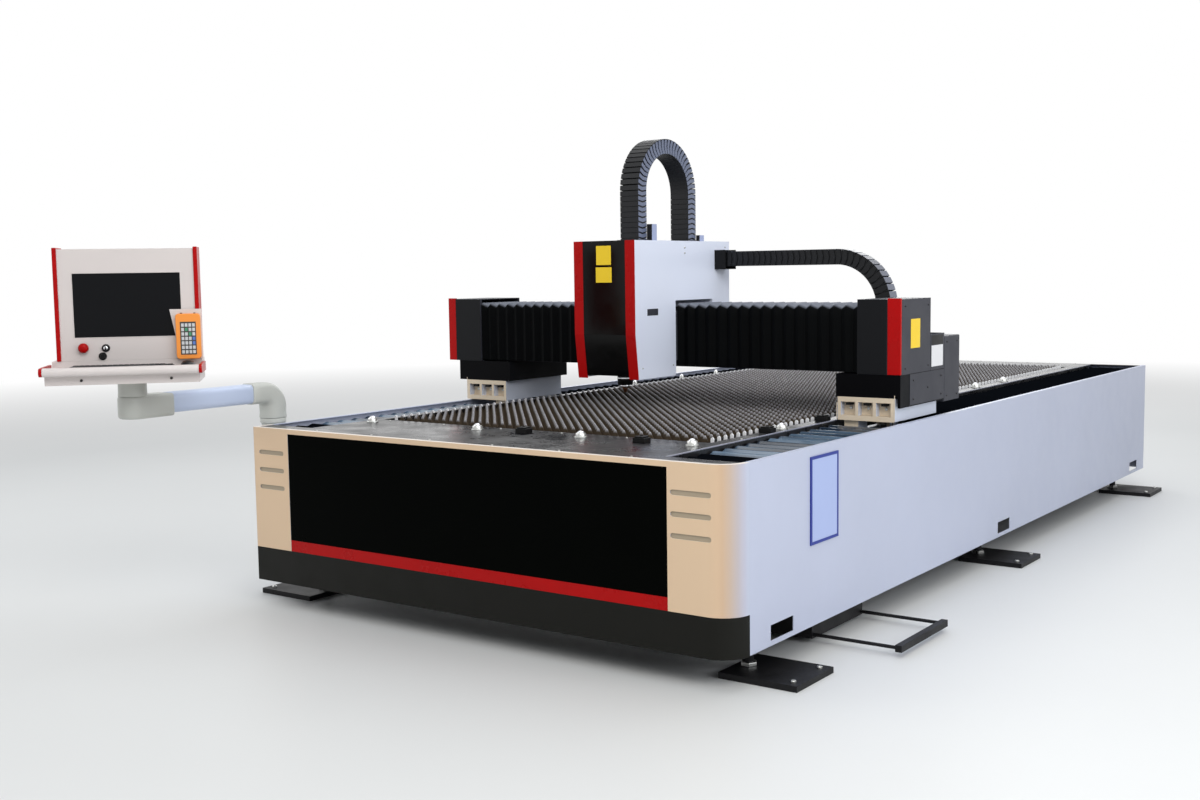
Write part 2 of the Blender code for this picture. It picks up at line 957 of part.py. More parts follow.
def make_deck(base):
    """Deck plate round the table, with its ball units and stop blocks."""
    low = deck_height - deck_thickness
    high = deck_height - touch
    deck = box("deck_plate", (deck_left, deck_front, low), (deck_right, deck_rear, high))
    rear = box(
        "deck rear end",
        (-deck_end_half, deck_end_rear, low),
        (deck_end_half, deck_rear, high),
    )
    opening = box(
        "deck opening",
        (table_left - sheet, table_front - sheet, low - overrun),
        (table_right + sheet, table_rear + sheet, deck_height + overrun),
    )
    join(deck, deck_front_end(low, high), rear)
    cut(deck, opening)
    foot = rail_ground + touch
    reach = frame_half_length
    legs = [
        ((deck_right - sheet, -reach, foot), (deck_right, reach, low + touch)),
        ((deck_left, -reach, foot), (deck_left + sheet, reach, low + touch)),
    ]
    join(deck, boxes("deck legs", legs))
    places = [(x, front_ball_line) for x in front_balls]
    places += [(right_ball_line, y) for y in side_balls]
    add_balls(deck, "front and right", places, 1)
    add_balls(deck, "left", [(left_ball_line, y) for y in left_balls], left_ball_share)
    width, depth, height = block_size
    spans = []
    for x, y in block_places:
        corner = (x - width / 2, y - depth / 2, low + touch)
        spans.append((corner, (x + width / 2, y + depth / 2, deck_height + height)))
    join(deck, boxes("stop blocks", spans))
    attach(base, finish(deck, "gloss_black"))


def deck_front_end(low, high):
    """The deck's front end, which follows the cover's round corners up to its rear edge."""
    outline = end_outline(deck_end_half, deck_front, corner_radius - side_lip, seam)
    end = extruded("deck front end", outline, low, high, "z")
    behind = box(
        "behind the deck front end",
        (-body_half, deck_end_front, low - overrun),
        (body_half, seam + overrun, high + overrun),
    )
    cut(end, behind)
    return end


def add_balls(deck, where, places, share):
    """Ball transfer units on the deck: a flange, a cup and the ball's top."""
    low = deck_height - deck_thickness / 2
    flange = deck_height + ball_base_height
    rim = deck_height + ball_cup_height
    top = rim + ball_radius * stem_share
    wide = ball_base * share
    cup = ball_cup * share
    ball = ball_radius * share
    tip = ball * stem_share
    join(
        deck,
        rods(f"{where} flanges", wide, places, low, flange, "z", ball_sides),
        rods(f"{where} cups", cup, places, deck_height, rim, "z", ball_sides, top_radius=ball),
        rods(f"{where} balls", ball * bezel_share, places, flange, top, "z", ball_sides, tip / 2),
    )


def slat_outline(left, right, low, valley, tip):
    """A slat from the side: a straight foot and a saw-toothed top edge."""
    pitch = (right - left) / tooth_count
    flat = pitch * tooth_flat_share / 2
    points = [(right, low), (right, valley)]
    for i in reversed(range(tooth_count)):
        middle = left + (i + 0.5) * pitch
        points += [(middle + flat, tip), (middle - flat, tip)]
        if i:
            points.append((left + i * pitch, valley))
    return [*points, (left, valley), (left, low)]


def make_slat_table(base):
    """Slat table: a welded ring with combs, and saw-toothed slats across it."""
    top = deck_height - table_drop
    low = top - table_depth
    table = box("slat_table", (table_left, table_front, low), (table_right, table_rear, top))
    inside = box(
        "table inside",
        (table_left + table_bar, table_front + table_bar, low - overrun),
        (table_right - table_bar, table_rear - table_bar, top + overrun),
    )
    cut(table, inside)
    span = table_right - table_left
    combs = []
    for share in comb_places_shares:
        middle = table_left + share * span
        edge = (middle - sheet, table_front + table_bar / 2, low + sheet)
        far = (middle + sheet, table_rear - table_bar / 2, top - slat_depth / 2)
        combs.append((edge, far))
    join(table, boxes("table combs", combs))
    half_bar = table_bar / 2
    tip = deck_height + slat_rise - table_drop
    outline = slat_outline(
        table_left + half_bar, table_right - half_bar, top - slat_depth, top - sheet, tip
    )
    pitch = (table_rear - table_front - table_bar * 2) / slat_count
    first = table_front + table_bar + pitch / 2
    slats = extruded(
        "slats", outline, first - slat_thickness / 2, first + slat_thickness / 2, "y"
    )
    repeat = slats.modifiers.new("row of slats", "ARRAY")
    repeat.count = slat_count
    repeat.use_relative_offset = False
    repeat.use_constant_offset = True
    repeat.constant_offset_displace = (0, pitch, 0)
    repeat.merge_threshold = weld
    join(table, slats)
    attach(base, finish(table, "slat_steel"))


def make_way_covers(base):
    """Pleated covers over the rails, in front of each saddle and behind it."""
    stretches = {
        "front": (way_front, saddle_front - touch),
        "rear": (saddle_rear + touch, way_rear),
    }
    for name, side in sides.items():
        low, high = sorted((side_limit(way_inner, side), side_limit(way_outer, side)))
        for end, (start, stop) in stretches.items():
            count = round((stop - start) / way_pitch)
            step = (stop - start) / count
            top = []
            for i in range(count):
                top += [(start + i * step, way_low), (start + (i + 0.5) * step, way_high)]
            top.append((stop, way_low))
            under = [(y, z - way_thickness) for y, z in reversed(top)]
            cover = extruded(f"{name}_way_cover_{end}", top + under, low, high, "x")
            attach(base, finish(cover, "rubber_black"))


def side_limit(value, side):
    """A place across the machine, to the right, or its like on the left channel."""
    if side > 0:
        return value
    return -value if value == way_outer else deck_left - (value - deck_right)


def make_sheet_holder(base):
    """Flat frame on the right side cover with a blank sheet in it."""
    start = body_half + touch
    holder = box(
        "sheet_holder",
        (start, holder_front, holder_low),
        (start + holder_thickness, holder_back, holder_high),
    )
    floor = start + holder_thickness / 2
    pocket = box(
        "sheet holder pocket",
        (floor, holder_front + holder_border, holder_low + holder_border),
        (floor + overrun, holder_back - holder_border, holder_high - holder_border),
    )
    paper = box(
        "blank_sheet",
        (floor + touch, holder_front + holder_border + touch, holder_low + holder_border + touch),
        (
            floor + touch + paper_thickness,
            holder_back - holder_border - touch,
            holder_high - holder_border - touch,
        ),
    )
    attach(base, finish(cut(holder, pocket), "blue"), finish(paper, "paper"))


def make_slag_drawer(base):
    """Flat drawer on its runners, with a bent pull handle lying out to the side."""
    slide = empty("drawer_slide", (drawer_outer, drawer_back, drawer_rim), base)
    drawer = box(
        "slag_drawer",
        (drawer_inner, drawer_front, drawer_low),
        (drawer_outer, drawer_back, drawer_rim - sheet + touch),
    )
    rim = box(
        "drawer rim",
        (drawer_inner, drawer_front - drawer_lip, drawer_rim - sheet),
        (drawer_outer, drawer_back + drawer_lip, drawer_rim),
    )
    inside = box(
        "drawer inside",
        (drawer_inner + sheet, drawer_front + sheet, drawer_low + sheet),
        (drawer_outer - sheet, drawer_back - sheet, drawer_rim + overrun),
    )
    join(drawer, rim)
    cut(drawer, inside)
    arms = rods(
        "handle arms",
        handle_rod,
        [(drawer_front + handle_rod * 2, handle_height), (drawer_back - handle_rod * 2, handle_height)],
        drawer_outer - sheet / 2,
        handle_reach - handle_rod,
        "x",
        10,
    )
    grip = box(
        "handle grip",
        (handle_reach - handle_grip * 2, drawer_front, handle_height - handle_grip),
        (handle_reach, drawer_back, handle_height + handle_grip),
    )
    join(drawer, arms, grip)
    attach(slide, finish(drawer, "black_steel"))


def make_saddles(gantry):
    """Cast saddles with three pockets in front and their guide blocks on the rails."""
    strip = rail_base
    for name, side in sides.items():
        across = mirrored((saddle_outer - saddle_width, saddle_outer), side)
        saddle = box(
            f"{name}_saddle",
            (across[0], saddle_front, saddle_low),
            (across[1], saddle_rear, saddle_high),
        )
        gap = (saddle_width - pocket_count * pocket_width) / (pocket_count + 1)
        middle = (saddle_low + saddle_high) / 2
        pockets = []
        for i in range(pocket_count):
            left = across[0] + gap + i * (pocket_width + gap)
            low = (left, saddle_front - overrun, middle - pocket_height / 2)
            high = (left + pocket_width, saddle_front + pocket_depth, middle + pocket_height / 2)
            pockets.append((low, high))
        cut(saddle, boxes(f"{name} saddle pockets", pockets))
        rail = gantry_centre + side * rail_offset
        guides = []
        for start in (saddle_front + guide_inset, saddle_rear - guide_inset - guide_length):
            low = (rail - guide_half, start, guide_low)
            guides.append((low, (rail + guide_half, start + guide_length, saddle_low + small_round)))
        channel = box(
            f"{name} guide channel",
            (rail - rail_half - rail_clearance, saddle_front - overrun, guide_low - overrun),
            (
                rail + rail_half + rail_clearance,
                saddle_rear + overrun,
                strip + rail_height + rail_clearance,
            ),
        )
        join(saddle, boxes(f"{name} guide blocks", guides))
        cut(saddle, channel)
        shaft_place = (pinion_x(side), pinion_line)
        seat = rods(
            f"{name} pinion seat",
            pinion_shaft + pinion_clearance,
            [shaft_place],
            saddle_low - overrun,
            saddle_low + pinion_seat,
            "z",
        )
        cut(saddle, seat)
        attach(gantry, finish(saddle, "off_white"))


def pinion_x(side):
    """Where a pinion's axis runs: beside the rack, a touch away from it."""
    reach = rail_offset + rack_near + rack_width + pinion_radius + touch
    return gantry_centre + side * reach


def make_pinions(gantry):
    """Drive pinions on their shafts, each on its own axis."""
    strip = rail_base
    for name, side in sides.items():
        place = (pinion_x(side), pinion_line, strip)
        axis = empty(f"{name}_pinion_axis", place, gantry)
        low = strip + rail_clearance
        wheel_top = low + rack_height
        profile = [
            (0, saddle_low + pinion_seat - rail_clearance),
            (pinion_shaft, saddle_low + pinion_seat - rail_clearance),
            (pinion_shaft, wheel_top),
            (pinion_radius, wheel_top),
            (pinion_radius, low),
            (0, low),
        ]
        pinion = turned(f"{name}_pinion", profile, (place[0], place[1], 0), fine_sides)
        attach(axis, finish(pinion, "bright_steel", smooth=True))


def make_bases(gantry):
    """Dark housings that stand on the saddles and carry the beam."""
    low = saddle_high + touch
    right = box(
        "right_gantry_base", (base_right[0], end_front, low), (base_right[1], base_rear, base_high)
    )
    skirt = box(
        "right base skirt",
        (base_right[1] - skirt_thickness, end_front, low - base_skirt),
        (base_right[1], base_rear, low + skirt_thickness),
    )
    left = box(
        "left_gantry_base", (base_left[0], end_front, low), (base_left[1], base_rear, base_high)
    )
    join(right, skirt)
    attach(gantry, finish(right, "charcoal"), finish(left, "charcoal"))


def make_end_covers(gantry):
    """Covers over the drive motors at the beam's ends, with a strip down each corner."""
    spans = {"right": (end_right, trim_width, 1), "left": (end_left, trim_left_width, -1)}
    low = base_high + touch
    for name, (ends, strip, side) in spans.items():
        cover = box(f"{name}_end_cover", (ends[0], end_front, low), (ends[1], end_rear, end_high))
        outer = ends[1] if side > 0 else ends[0]
        inner = ends[0] if side > 0 else ends[1]
        notch_x = sorted((outer - side * strip, outer + side * overrun))
        notch = box(
            f"{name} trim notch",
            (notch_x[0], end_front - overrun, low - overrun),
            (notch_x[1], end_front + trim_thickness, end_high + overrun),
        )
        wall = trim_thickness + sheet
        hollow_x = sorted((outer - side * sheet, inner - side * overrun))
        hollow = box(
            f"{name} end cover hollow",
            (hollow_x[0], end_front + wall, low - overrun),
            (hollow_x[1], end_rear - sheet, end_high - sheet),
        )
        cut(cover, notch, hollow)
        trim_x = sorted((outer - side * (strip - touch), outer))
        trim = box(
            f"{name}_end_trim",
            (trim_x[0], end_front, low),
            (trim_x[1], end_front + trim_thickness - touch, end_high + trim_rise),
        )
        attach(gantry, finish(cover, "charcoal"), finish(trim, "red", small_round))


def make_beam(gantry):
    """Hollow beam between the ends, with the carriage's two rails on its front."""
    left = end_left[0] + beam_end_inset
    right = end_right[1] - beam_end_inset
    low = base_high + touch
    beam = box("gantry_beam", (left, beam_y_front, low), (right, beam_y_rear, beam_z_high))
    inside = box(
        "beam inside",
        (left - overrun, beam_y_front + beam_wall, low + beam_wall),
        (right + overrun, beam_y_rear - beam_wall, beam_z_high - beam_wall),
    )
    cut(beam, inside)
    rails = []
    for z in x_rail_places:
        corner = (end_left[1] + overrun, beam_y_front - x_rail_size, z - x_rail_size / 2)
        rails.append((corner, (end_right[0] - overrun, beam_y_front + small_round, z + x_rail_size / 2)))
    join(beam, boxes("beam rails", rails))
    attach(gantry, finish(beam, "grey"))


def make_drive_box(gantry):
    """Closed housing behind the right base."""
    low = (drive_inner, base_rear + touch, drive_low)
    case = box("rear_drive_box", low, (end_right[1], drive_rear, drive_high))
    attach(gantry, finish(case, "grey", edge_round))


def bellows_ring(x, depth):
    """One rib of a bellows: an inverted L over the beam's front and top."""
    front = bellows_front + depth
    top = bellows_top - depth
    return [
        (x, front, bellows_low),
        (x, front, top),
        (x, bellows_rear, top),
        (x, bellows_rear, top - bellows_wall),
        (x, front + bellows_wall, top - bellows_wall),
        (x, front + bellows_wall, bellows_low),
    ]


def make_bellows(gantry):
    """Pleated covers over the beam on both sides of the head, as lofts between ribs."""
    spans = {
        "right": (head_right + touch, end_right[0] - touch),
        "left": (end_left[1] + touch, head_left - touch),
    }
    for name, (start, stop) in spans.items():
        count = 2 * round((stop - start) / bellows_pitch)
        shape = bmesh.new()
        rings = []
        for i in range(count + 1):
            x = start + (stop - start) * i / count
            ring = bellows_ring(x, bellows_pleat * (i % 2))
            rings.append([shape.verts.new(point) for point in ring])
        for first, second in zip(rings, rings[1:]):
            for i, corner in enumerate(first):
                j = (i + 1) % len(first)
                shape.faces.new((corner, second[i], second[j], first[j]))
        shape.faces.new(rings[0])
        shape.faces.new(reversed(rings[-1]))
        bmesh.ops.recalc_face_normals(shape, faces=shape.faces)
        attach(gantry, finish(from_bmesh(f"{name}_bellows", shape), "rubber_black"))


def chain_outline(path, total, pitch, height):
    """A chain from the side: links along a path, with a groove between each two."""
    count = round(total / pitch)
    step = total / count
    outer = []
    inner = []
    for i in range(count):
        marks = [
            (i * step + chain_slot / 2, height / 2),
            ((i + 1) * step - chain_slot / 2, height / 2),
        ]
        if i < count - 1:
            marks.append(((i + 1) * step, height / 2 - chain_groove))
        if i == 0:
            marks[0] = (0, height / 2)
        if i == count - 1:
            marks[1] = (total, height / 2)
        for s, reach in marks:
            (u, v), (a, b) = path(s)
            outer.append((u + a * reach, v + b * reach))
            inner.append((u - a * reach, v - b * reach))
    return outer + inner[::-1]


def bent_path(start, bend, centre, radius, turn):
    """A path that runs straight, round a half circle and straight back. Its points come
    with the direction that points away from the bend's middle. turn is 1 for a chain
    that runs along +u over the top, and the last value for an arch that stands up."""
    straight = bend - start

    def along(s):
        if s < straight:
            return (start + s, centre + radius), (0, 1)
        if s < straight + math.pi * radius:
            a = (s - straight) / radius
            return (bend + radius * math.sin(a), centre + radius * math.cos(a)), (
                math.sin(a),
                math.cos(a),
            )
        back = s - straight - math.pi * radius
        return (bend - back, centre - radius), (0, -1)

    return along if turn == 1 else lambda s: tuple((v, u) for u, v in along(s))


def make_x_chain(gantry):
    """Cable chain from the head's side down to the trough behind the beam."""
    floor = base_high + touch + sheet + touch
    radius = (x_chain_top - floor - x_chain_height) / 2
    centre = (x_chain_top + floor) / 2
    bend = x_chain_apex - x_chain_height / 2 - radius
    start = head_right + touch
    path = bent_path(start, bend, centre, radius, 1)
    total = (bend - start) + math.pi * radius + (bend - x_chain_low_end)
    outline = chain_outline(path, total, x_chain_pitch, x_chain_height)
    chain = extruded("beam_chain", outline, x_chain_front, x_chain_rear, "y")
    attach(gantry, finish(chain, "rubber_black"))


def make_chain_tray(gantry):
    """Open trough on both bases that the beam's chain lies in, closed at the right."""
    low = base_high + touch
    inner_front = chain_tray_front + sheet
    inner_rear = chain_tray_rear - sheet
    outline = [
        (chain_tray_front, low),
        (chain_tray_rear, low),
        (chain_tray_rear, chain_tray_high),
        (inner_rear, chain_tray_high),
        (inner_rear, low + sheet),
        (inner_front, low + sheet),
        (inner_front, chain_tray_high),
        (chain_tray_front, chain_tray_high),
    ]
    right = end_right[1]
    tray = extruded("chain_tray", outline, end_left[1], right, "x")
    plate = box(
        "tray end plate",
        (right - sheet, chain_tray_front + small_round, low + small_round),
        (right, chain_tray_rear - small_round, chain_tray_high),
    )
    attach(gantry, finish(join(tray, plate), "grey"))


def make_head_cover(carriage):
    """Folded head cover that straddles the beam, open in front between its two strips."""
    slanted = head_front + head_slant
    outline = [
        (slanted, head_low),
        (head_back, head_low),
        (head_back, head_notch_top),
        (head_notch_rear, head_notch_top),
        (head_notch_rear, head_rear_low),
        (head_rear, head_rear_low),
        (head_rear, head_high),
        (head_front, head_high),
        (head_front, head_slant_start),
    ]
    cover = extruded("head_cover", outline, head_left, head_right, "x")
    wide = (head_left + sheet, head_right - sheet)
    front_room = extruded(
        "head cover front room",
        [
            (slanted + sheet, head_low - overrun),
            (head_back - sheet, head_low - overrun),
            (head_back - sheet, head_high - sheet),
            (head_front + sheet, head_high - sheet),
            (head_front + sheet, head_slant_start),
        ],
        *wide,
        "x",
    )
    rear_room = box(
        "head cover rear room",
        (wide[0], head_back - sheet * 2, head_notch_top + sheet),
        (wide[1], head_rear - sheet, head_high - sheet),
    )
    slot = box(
        "head cover carriage slot",
        (wide[0], head_back - overrun, carriage_low - overrun),
        (wide[1], head_back + overrun, head_notch_top - sheet),
    )
    window = box(
        "head cover window",
        (head_left + head_stripe, head_front - overrun, head_low - overrun),
        (head_right - head_stripe, head_front + head_slant * 2, head_high - sheet - touch),
    )
    cut(cover, front_room, rear_room, slot, window)
    recess = box(
        "head handle recess",
        (head_right - sheet - touch, handle_y[0], handle_z[0]),
        (head_right + overrun, handle_y[1], handle_z[1]),
    )
    cut(cover, recess)
    attach(carriage, finish(cover, "white"))


def front_strip(name, left, right, thickness, low):
    """A strip that follows the head's front, straight above and slanting back below."""
    face = head_front - touch
    share = (head_slant_start - low) / (head_slant_start - head_low)
    slanted = face + head_slant * share
    outline = [
        (slanted, low),
        (slanted - thickness, low),
        (face - thickness, head_slant_start),
        (face - thickness, head_high),
        (face, head_high),
        (face, head_slant_start),
    ]
    return extruded(name, outline, left, right, "x")


def make_head_front(carriage):
    """Red strips and the gloss panel between them."""
    left = front_strip("head_strip_left", head_left, head_left + head_stripe, sheet, head_low)
    right = front_strip("head_strip_right", head_right - head_stripe, head_right, sheet, head_low)
    panel = front_strip(
        "head_front_panel",
        head_left + head_stripe + touch,
        head_right - head_stripe - touch,
        sheet,
        head_panel_low,
    )
    attach(carriage, finish(left, "red"), finish(right, "red"), finish(panel, "gloss_black"))


def make_carriage(carriage):
    """Carriage plate with its guide blocks on the beam's rails and the slide's ways."""
    back = beam_y_front - x_rail_size - rail_clearance * 2
    plate = box(
        "carriage_plate",
        (head_left + overrun, back - carriage_thickness, carriage_low),
        (head_right - overrun, back, carriage_high),
    )
    spans = []
    for z in x_rail_places:
        for x in (head_left + overrun * 2, head_right - overrun * 2 - block_grip * 2):
            low = (x, back - touch - small_round, z - block_grip)
            spans.append((low, (x + block_grip * 2, beam_y_front - small_round, z + block_grip)))
    channels = []
    for z in x_rail_places:
        reach = x_rail_size / 2 + rail_clearance
        low = (head_left - overrun, beam_y_front - x_rail_size - rail_clearance, z - reach)
        channels.append((low, (head_right + overrun, beam_y_front + overrun, z + reach)))
    ways = []
    middle = (head_left + head_right) / 2
    for side in (-1, 1):
        x = middle + side * slide_half
        low = (x - small_round * 4, slide_back(), carriage_low + small_round)
        high = (x + small_round * 4, back - carriage_thickness + small_round, carriage_high - small_round)
        ways.append((low, high))
    arms = []
    for outer, inner in ((head_left, head_left + overrun), (head_right, head_right - overrun)):
        side = 1 if outer > inner else -1
        across = sorted((outer - side * (sheet + touch), inner - side * small_round))
        low = (across[0], head_back - overrun, carriage_low + overrun)
        arms.append((low, (across[1], back, carriage_high - overrun)))
    join(plate, boxes("cover brackets", arms))
    join(plate, boxes("carriage blocks", spans))
    cut(plate, boxes("carriage block channels", channels))
    join(plate, boxes("slide ways", ways))
    attach(carriage, finish(plate, "grey"))


def slide_back():
    """The plane between the carriage's ways and the slide plate."""
    return head_axis_y + tool_half + slide_thickness + touch * 2


def make_cutting_head(slide):
    """Slide plate with the cutting tool's body, and the nozzle below it."""
    middle = (head_left + head_right) / 2
    back = slide_back() - touch
    tool = box(
        "cutting_head",
        (middle - tool_half, head_axis_y - tool_half, tool_low),
        (middle + tool_half, head_axis_y + tool_half + small_round, tool_high),
    )
    plate = box(
        "slide plate",
        (middle - slide_half - overrun, head_axis_y + tool_half, carriage_low + overrun),
        (middle + slide_half + overrun, back, carriage_high),
    )
    collar = rods(
        "cutting collar",
        collar_radius,
        [(middle, head_axis_y)],
        collar_low,
        tool_low + small_round,
        "z",
        fine_sides,
    )
    join(tool, plate, collar)
    shoulder = (collar_low + nozzle_low) / 2
    profile = [
        (0, collar_low - touch),
        (nozzle_radius, collar_low - touch),
        (nozzle_radius, shoulder),
        (nozzle_tip, nozzle_low),
        (0, nozzle_low),
    ]
    nozzle = turned("nozzle", profile, (middle, head_axis_y, 0), fine_sides)
    attach(slide, finish(tool, "charcoal"), finish(nozzle, "copper", smooth=True))


def make_z_chain(carriage):
    """Arched cable chain that stands on the head cover."""
    radius = z_chain_outer - z_chain_height / 2
    middle = z_chain_front + z_chain_outer
    foot = head_high + touch
    path = bent_path(foot, z_chain_centre_height, middle, radius, 0)
    total = 2 * (z_chain_centre_height - foot) + math.pi * radius
    outline = chain_outline(path, total, z_chain_pitch, z_chain_height)
    chain = extruded("head_chain", outline, z_chain_left, z_chain_right, "x")
    attach(carriage, finish(chain, "rubber_black"))


def make_arm(base):
    """Post on the left side, and the swinging arm with its elbow, tube and knuckle."""
    post = rods("arm_post", post_radius, [(post_x, post_y)], post_low, post_top, "z", fine_sides)
    lugs = []
    for z in bracket_heights:
        low = (post_x, post_y - post_radius * stem_share, z - bracket_height / 2)
        high = (
            -body_half - bracket_plate + touch,
            post_y + post_radius * stem_share,
            z + bracket_height / 2,
        )
        lugs.append((low, high))
    plate = box(
        "arm bracket plate",
        (-body_half - bracket_plate, post_y - post_radius, bracket_heights[0] - bracket_height),
        (-body_half - touch, post_y + post_radius, bracket_heights[1] + bracket_height),
    )
    join(post, boxes("arm bracket lugs", lugs), plate)
    attach(base, finish(post, "cast_grey", smooth=True))
    axis = empty("arm_axis", (post_x, post_y, post_top), base)
    middle = (arm_low + arm_high) / 2
    rise = (arm_high - arm_low) / 2
    corner = arm_half * stem_share
    elbow_side = [
        (elbow_end, arm_low),
        (post_y - flange_radius, arm_low),
        (post_y - flange_radius, post_top + touch),
        (post_y + flange_radius, post_top + touch),
        *arc((post_y + flange_radius - elbow_bend, arm_high - elbow_bend), elbow_bend, 0, 90),
        (elbow_end, arm_high),
    ]
    elbow = extruded("arm_elbow", elbow_side, post_x - flange_radius, post_x + flange_radius, "x")
    ring = arm_section(arm_half - small_round * 2, rise - small_round * 2, middle, corner)
    arm = extruded("arm_tube", ring, arm_end + touch, elbow_end - touch, "y")
    knuckle = extruded(
        "arm_knuckle",
        [
            *arc((console_x, console_y), flange_radius, 180, 360, arc_steps * 2),
            (console_x + flange_radius, arm_end),
            (console_x - flange_radius, arm_end),
        ],
        arm_low,
        arm_high,
        "z",
    )
    place = [(console_x, console_y)]
    top = tray_foot - touch
    column = rods("knuckle column", column_radius, place, middle, top, "z", fine_sides)
    join(knuckle, column)
    attach(
        axis,
        finish(elbow, "cast_grey", edge_round),
        finish(arm, "white"),
        finish(knuckle, "cast_grey"),
    )
    return axis


def arm_section(half, rise, middle, corner):
    """The arm tube's rounded rectangular section."""
    points = []
    for sx, sz, start in ((1, 1, 0), (-1, 1, 90), (-1, -1, 180), (1, -1, 270)):
        centre = (post_x + sx * (half - corner), middle + sz * (rise - corner))
        points += arc(centre, corner, start, start + 90, 4)
    return points


def console_axis(axis):
    """The turned empty that the console is modelled on."""
    thing = empty("console_axis", (console_x, console_y, 0), axis)
    thing.rotation_euler = (0, 0, math.radians(console_yaw))
    thing["place"] = (0, 0, 0)
    return thing


def make_console_box(console):
    """Flat housing with the screen's recess and seats for the buttons, and side strips."""
    left = panel_middle - panel_half
    right = panel_middle + panel_half
    rear = console_front + console_depth
    case = box("console_box", (left, console_front, console_low), (right, rear, console_high))
    recess = box(
        "screen recess",
        (screen_left, console_front - overrun, screen_low),
        (screen_right, console_front + screen_recess, screen_high),
    )
    seats = []
    for (x, z), radius in control_places():
        seats.append(
            rods(
                f"control seat {x:.3f}",
                radius * bezel_share + pinion_clearance,
                [(x, z)],
                console_front - overrun,
                console_front + overrun,
                "y",
                round_sides,
            )
        )
    cut(case, recess, *seats)
    screen = box(
        "console_screen",
        (screen_left + touch, console_front + small_round, screen_low + touch),
        (screen_right - touch, console_front + screen_recess - touch, screen_high - touch),
    )
    attach(console, finish(case, "off_white"), finish(screen, "screen_glass"))
    for name, x in (("left", left - strip_thickness - touch), ("right", right + touch)):
        strip = box(
            f"console_{name}_strip",
            (x, console_front - strip_proud, console_low),
            (x + strip_thickness, rear, console_high + strip_proud),
        )
        attach(console, finish(strip, "red", small_round))


def control_places():
    """Middle and radius of each control on the panel."""
    offsets = (stop_offset, switch_offset, dial_offset)
    radii = (button_radius, knob_radius, knob_radius)
    return [((x, console_low + rise), radius) for (x, rise), radius in zip(offsets, radii)]


def make_controls(console):
    """Stop button and two small controls, each with its stem in the panel."""
    slots = ("red", "bright_steel", "rubber_black")
    names = ("stop_button", "selector_switch", "start_button")
    for name, slot, ((x, z), radius) in zip(names, slots, control_places()):
        axis = empty(f"{name}_axis", (x, console_front, z), console)
        height = button_height if name == "stop_button" else knob_height
        gap = touch + (press_travel if name == "stop_button" else 0)
        cap = rods(
            name,
            radius,
            [(x, z)],
            console_front - gap - height,
            console_front - gap,
            "y",
            round_sides,
        )
        stem = rods(
            f"{name} stem",
            radius * bezel_share,
            [(x, z)],
            console_front - gap - small_round,
            console_front + overrun - press_travel - touch,
            "y",
            round_sides,
        )
        join(cap, stem)
        attach(axis, finish(cap, slot, smooth=True))


def make_tray(console):
    """Flat shelf behind a rounded nose, its two end cheeks, keyboard and mouse."""
    nose_middle = (tray_nose_low + tray_nose_high) / 2
    radius = (tray_nose_high - tray_nose_low) / 2
    nose = arc((tray_front + radius, nose_middle), radius, 270, 90, 8)
    low_back = console_low - touch
    rear = console_front + console_depth - overrun
    nose_rear = tray_front + radius + tray_nose_back
    outline = [
        *nose,
        (nose_rear, tray_nose_high),
        (nose_rear + edge_round, tray_top),
        (console_front - touch, tray_top),
        (console_front - touch, low_back),
        (rear, low_back),
        (rear, tray_foot),
        (tray_front + tray_sill, tray_foot),
        (tray_front + tray_sill, tray_nose_low),
    ]
    left = tray_middle - tray_half
    right = tray_middle + tray_half
    shelf = extruded("keyboard_shelf", outline[::-1], left + cheek, right - cheek, "x")
    cheek_outline = [
        (tray_front - touch, nose_middle),
        (tray_front + radius, tray_nose_low - small_round),
        (console_front - edge_round, tray_nose_low - small_round),
        (console_front - edge_round, tray_nose_high + small_round),
        (tray_front + radius, tray_nose_high + small_round),
    ]
    for name, x in (("left", left), ("right", right - cheek - touch)):
        join(shelf, extruded(f"{name} cheek", cheek_outline, x, x + cheek + touch, "x"))
    attach(console, finish(shelf, "off_white"))
    make_keyboard(console)


def make_keyboard(console):
    """Flat keyboard with rows of keys, and the mouse beside it."""
    back = console_front - overrun
    front = back - board_depth
    left = board_middle - board_width / 2
    low = tray_top + touch
    board = box("keyboard", (left, front, low), (left + board_width, back, low + board_thickness))
    row = board_depth / key_rows
    spans = []
    for i in range(key_rows):
        near = front + row * i + small_round
        corner = (left + edge_round, near, low + board_thickness / 2)
        far = near + row - small_round * 2
        spans.append((corner, (left + board_width - edge_round, far, low + board_thickness + key_height)))
    join(board, boxes("key rows", spans))
    attach(console, finish(board, "charcoal"))
    near = back - mouse_length
    outline = [
        (near, low),
        (back, low),
        (back - small_round, low + mouse_height / 2),
        (back - mouse_length * stem_share / 2, low + mouse_height * bezel_share),
        (near + mouse_length * tooth_flat_share, low + mouse_height),
        (near + small_round, low + mouse_height / 2),
    ]
    mouse = extruded("mouse", outline, mouse_place - mouse_half, mouse_place + mouse_half, "x")
    attach(console, finish(mouse, "rubber_black"))


def make_remote(console):
    """Hand remote on its back plate, standing against the panel's right edge."""
    back = console_front - strip_proud - touch
    plate = box(
        "remote_plate",
        (remote_left - remote_margin, back - remote_plate, remote_low),
        (remote_right + remote_margin / 2, back, remote_high + remote_margin),
    )
    front = back - remote_plate - touch
    body = box(
        "remote_control",
        (remote_left, front - remote_thickness, remote_low),
        (remote_right, front, remote_high),
    )
    width = (remote_right - remote_left) * (1 - remote_key_share) / 2
    height = remote_high - remote_low
    keys = box(
        "remote key field",
        (remote_left + width, front - remote_thickness - small_round, remote_low + width),
        (
            remote_right - width,
            front - remote_thickness + small_round,
            remote_low + width + height * remote_key_share,
        ),
    )
    join(body, keys)
    attach(console, finish(plate, "white"), finish(body, "orange"))


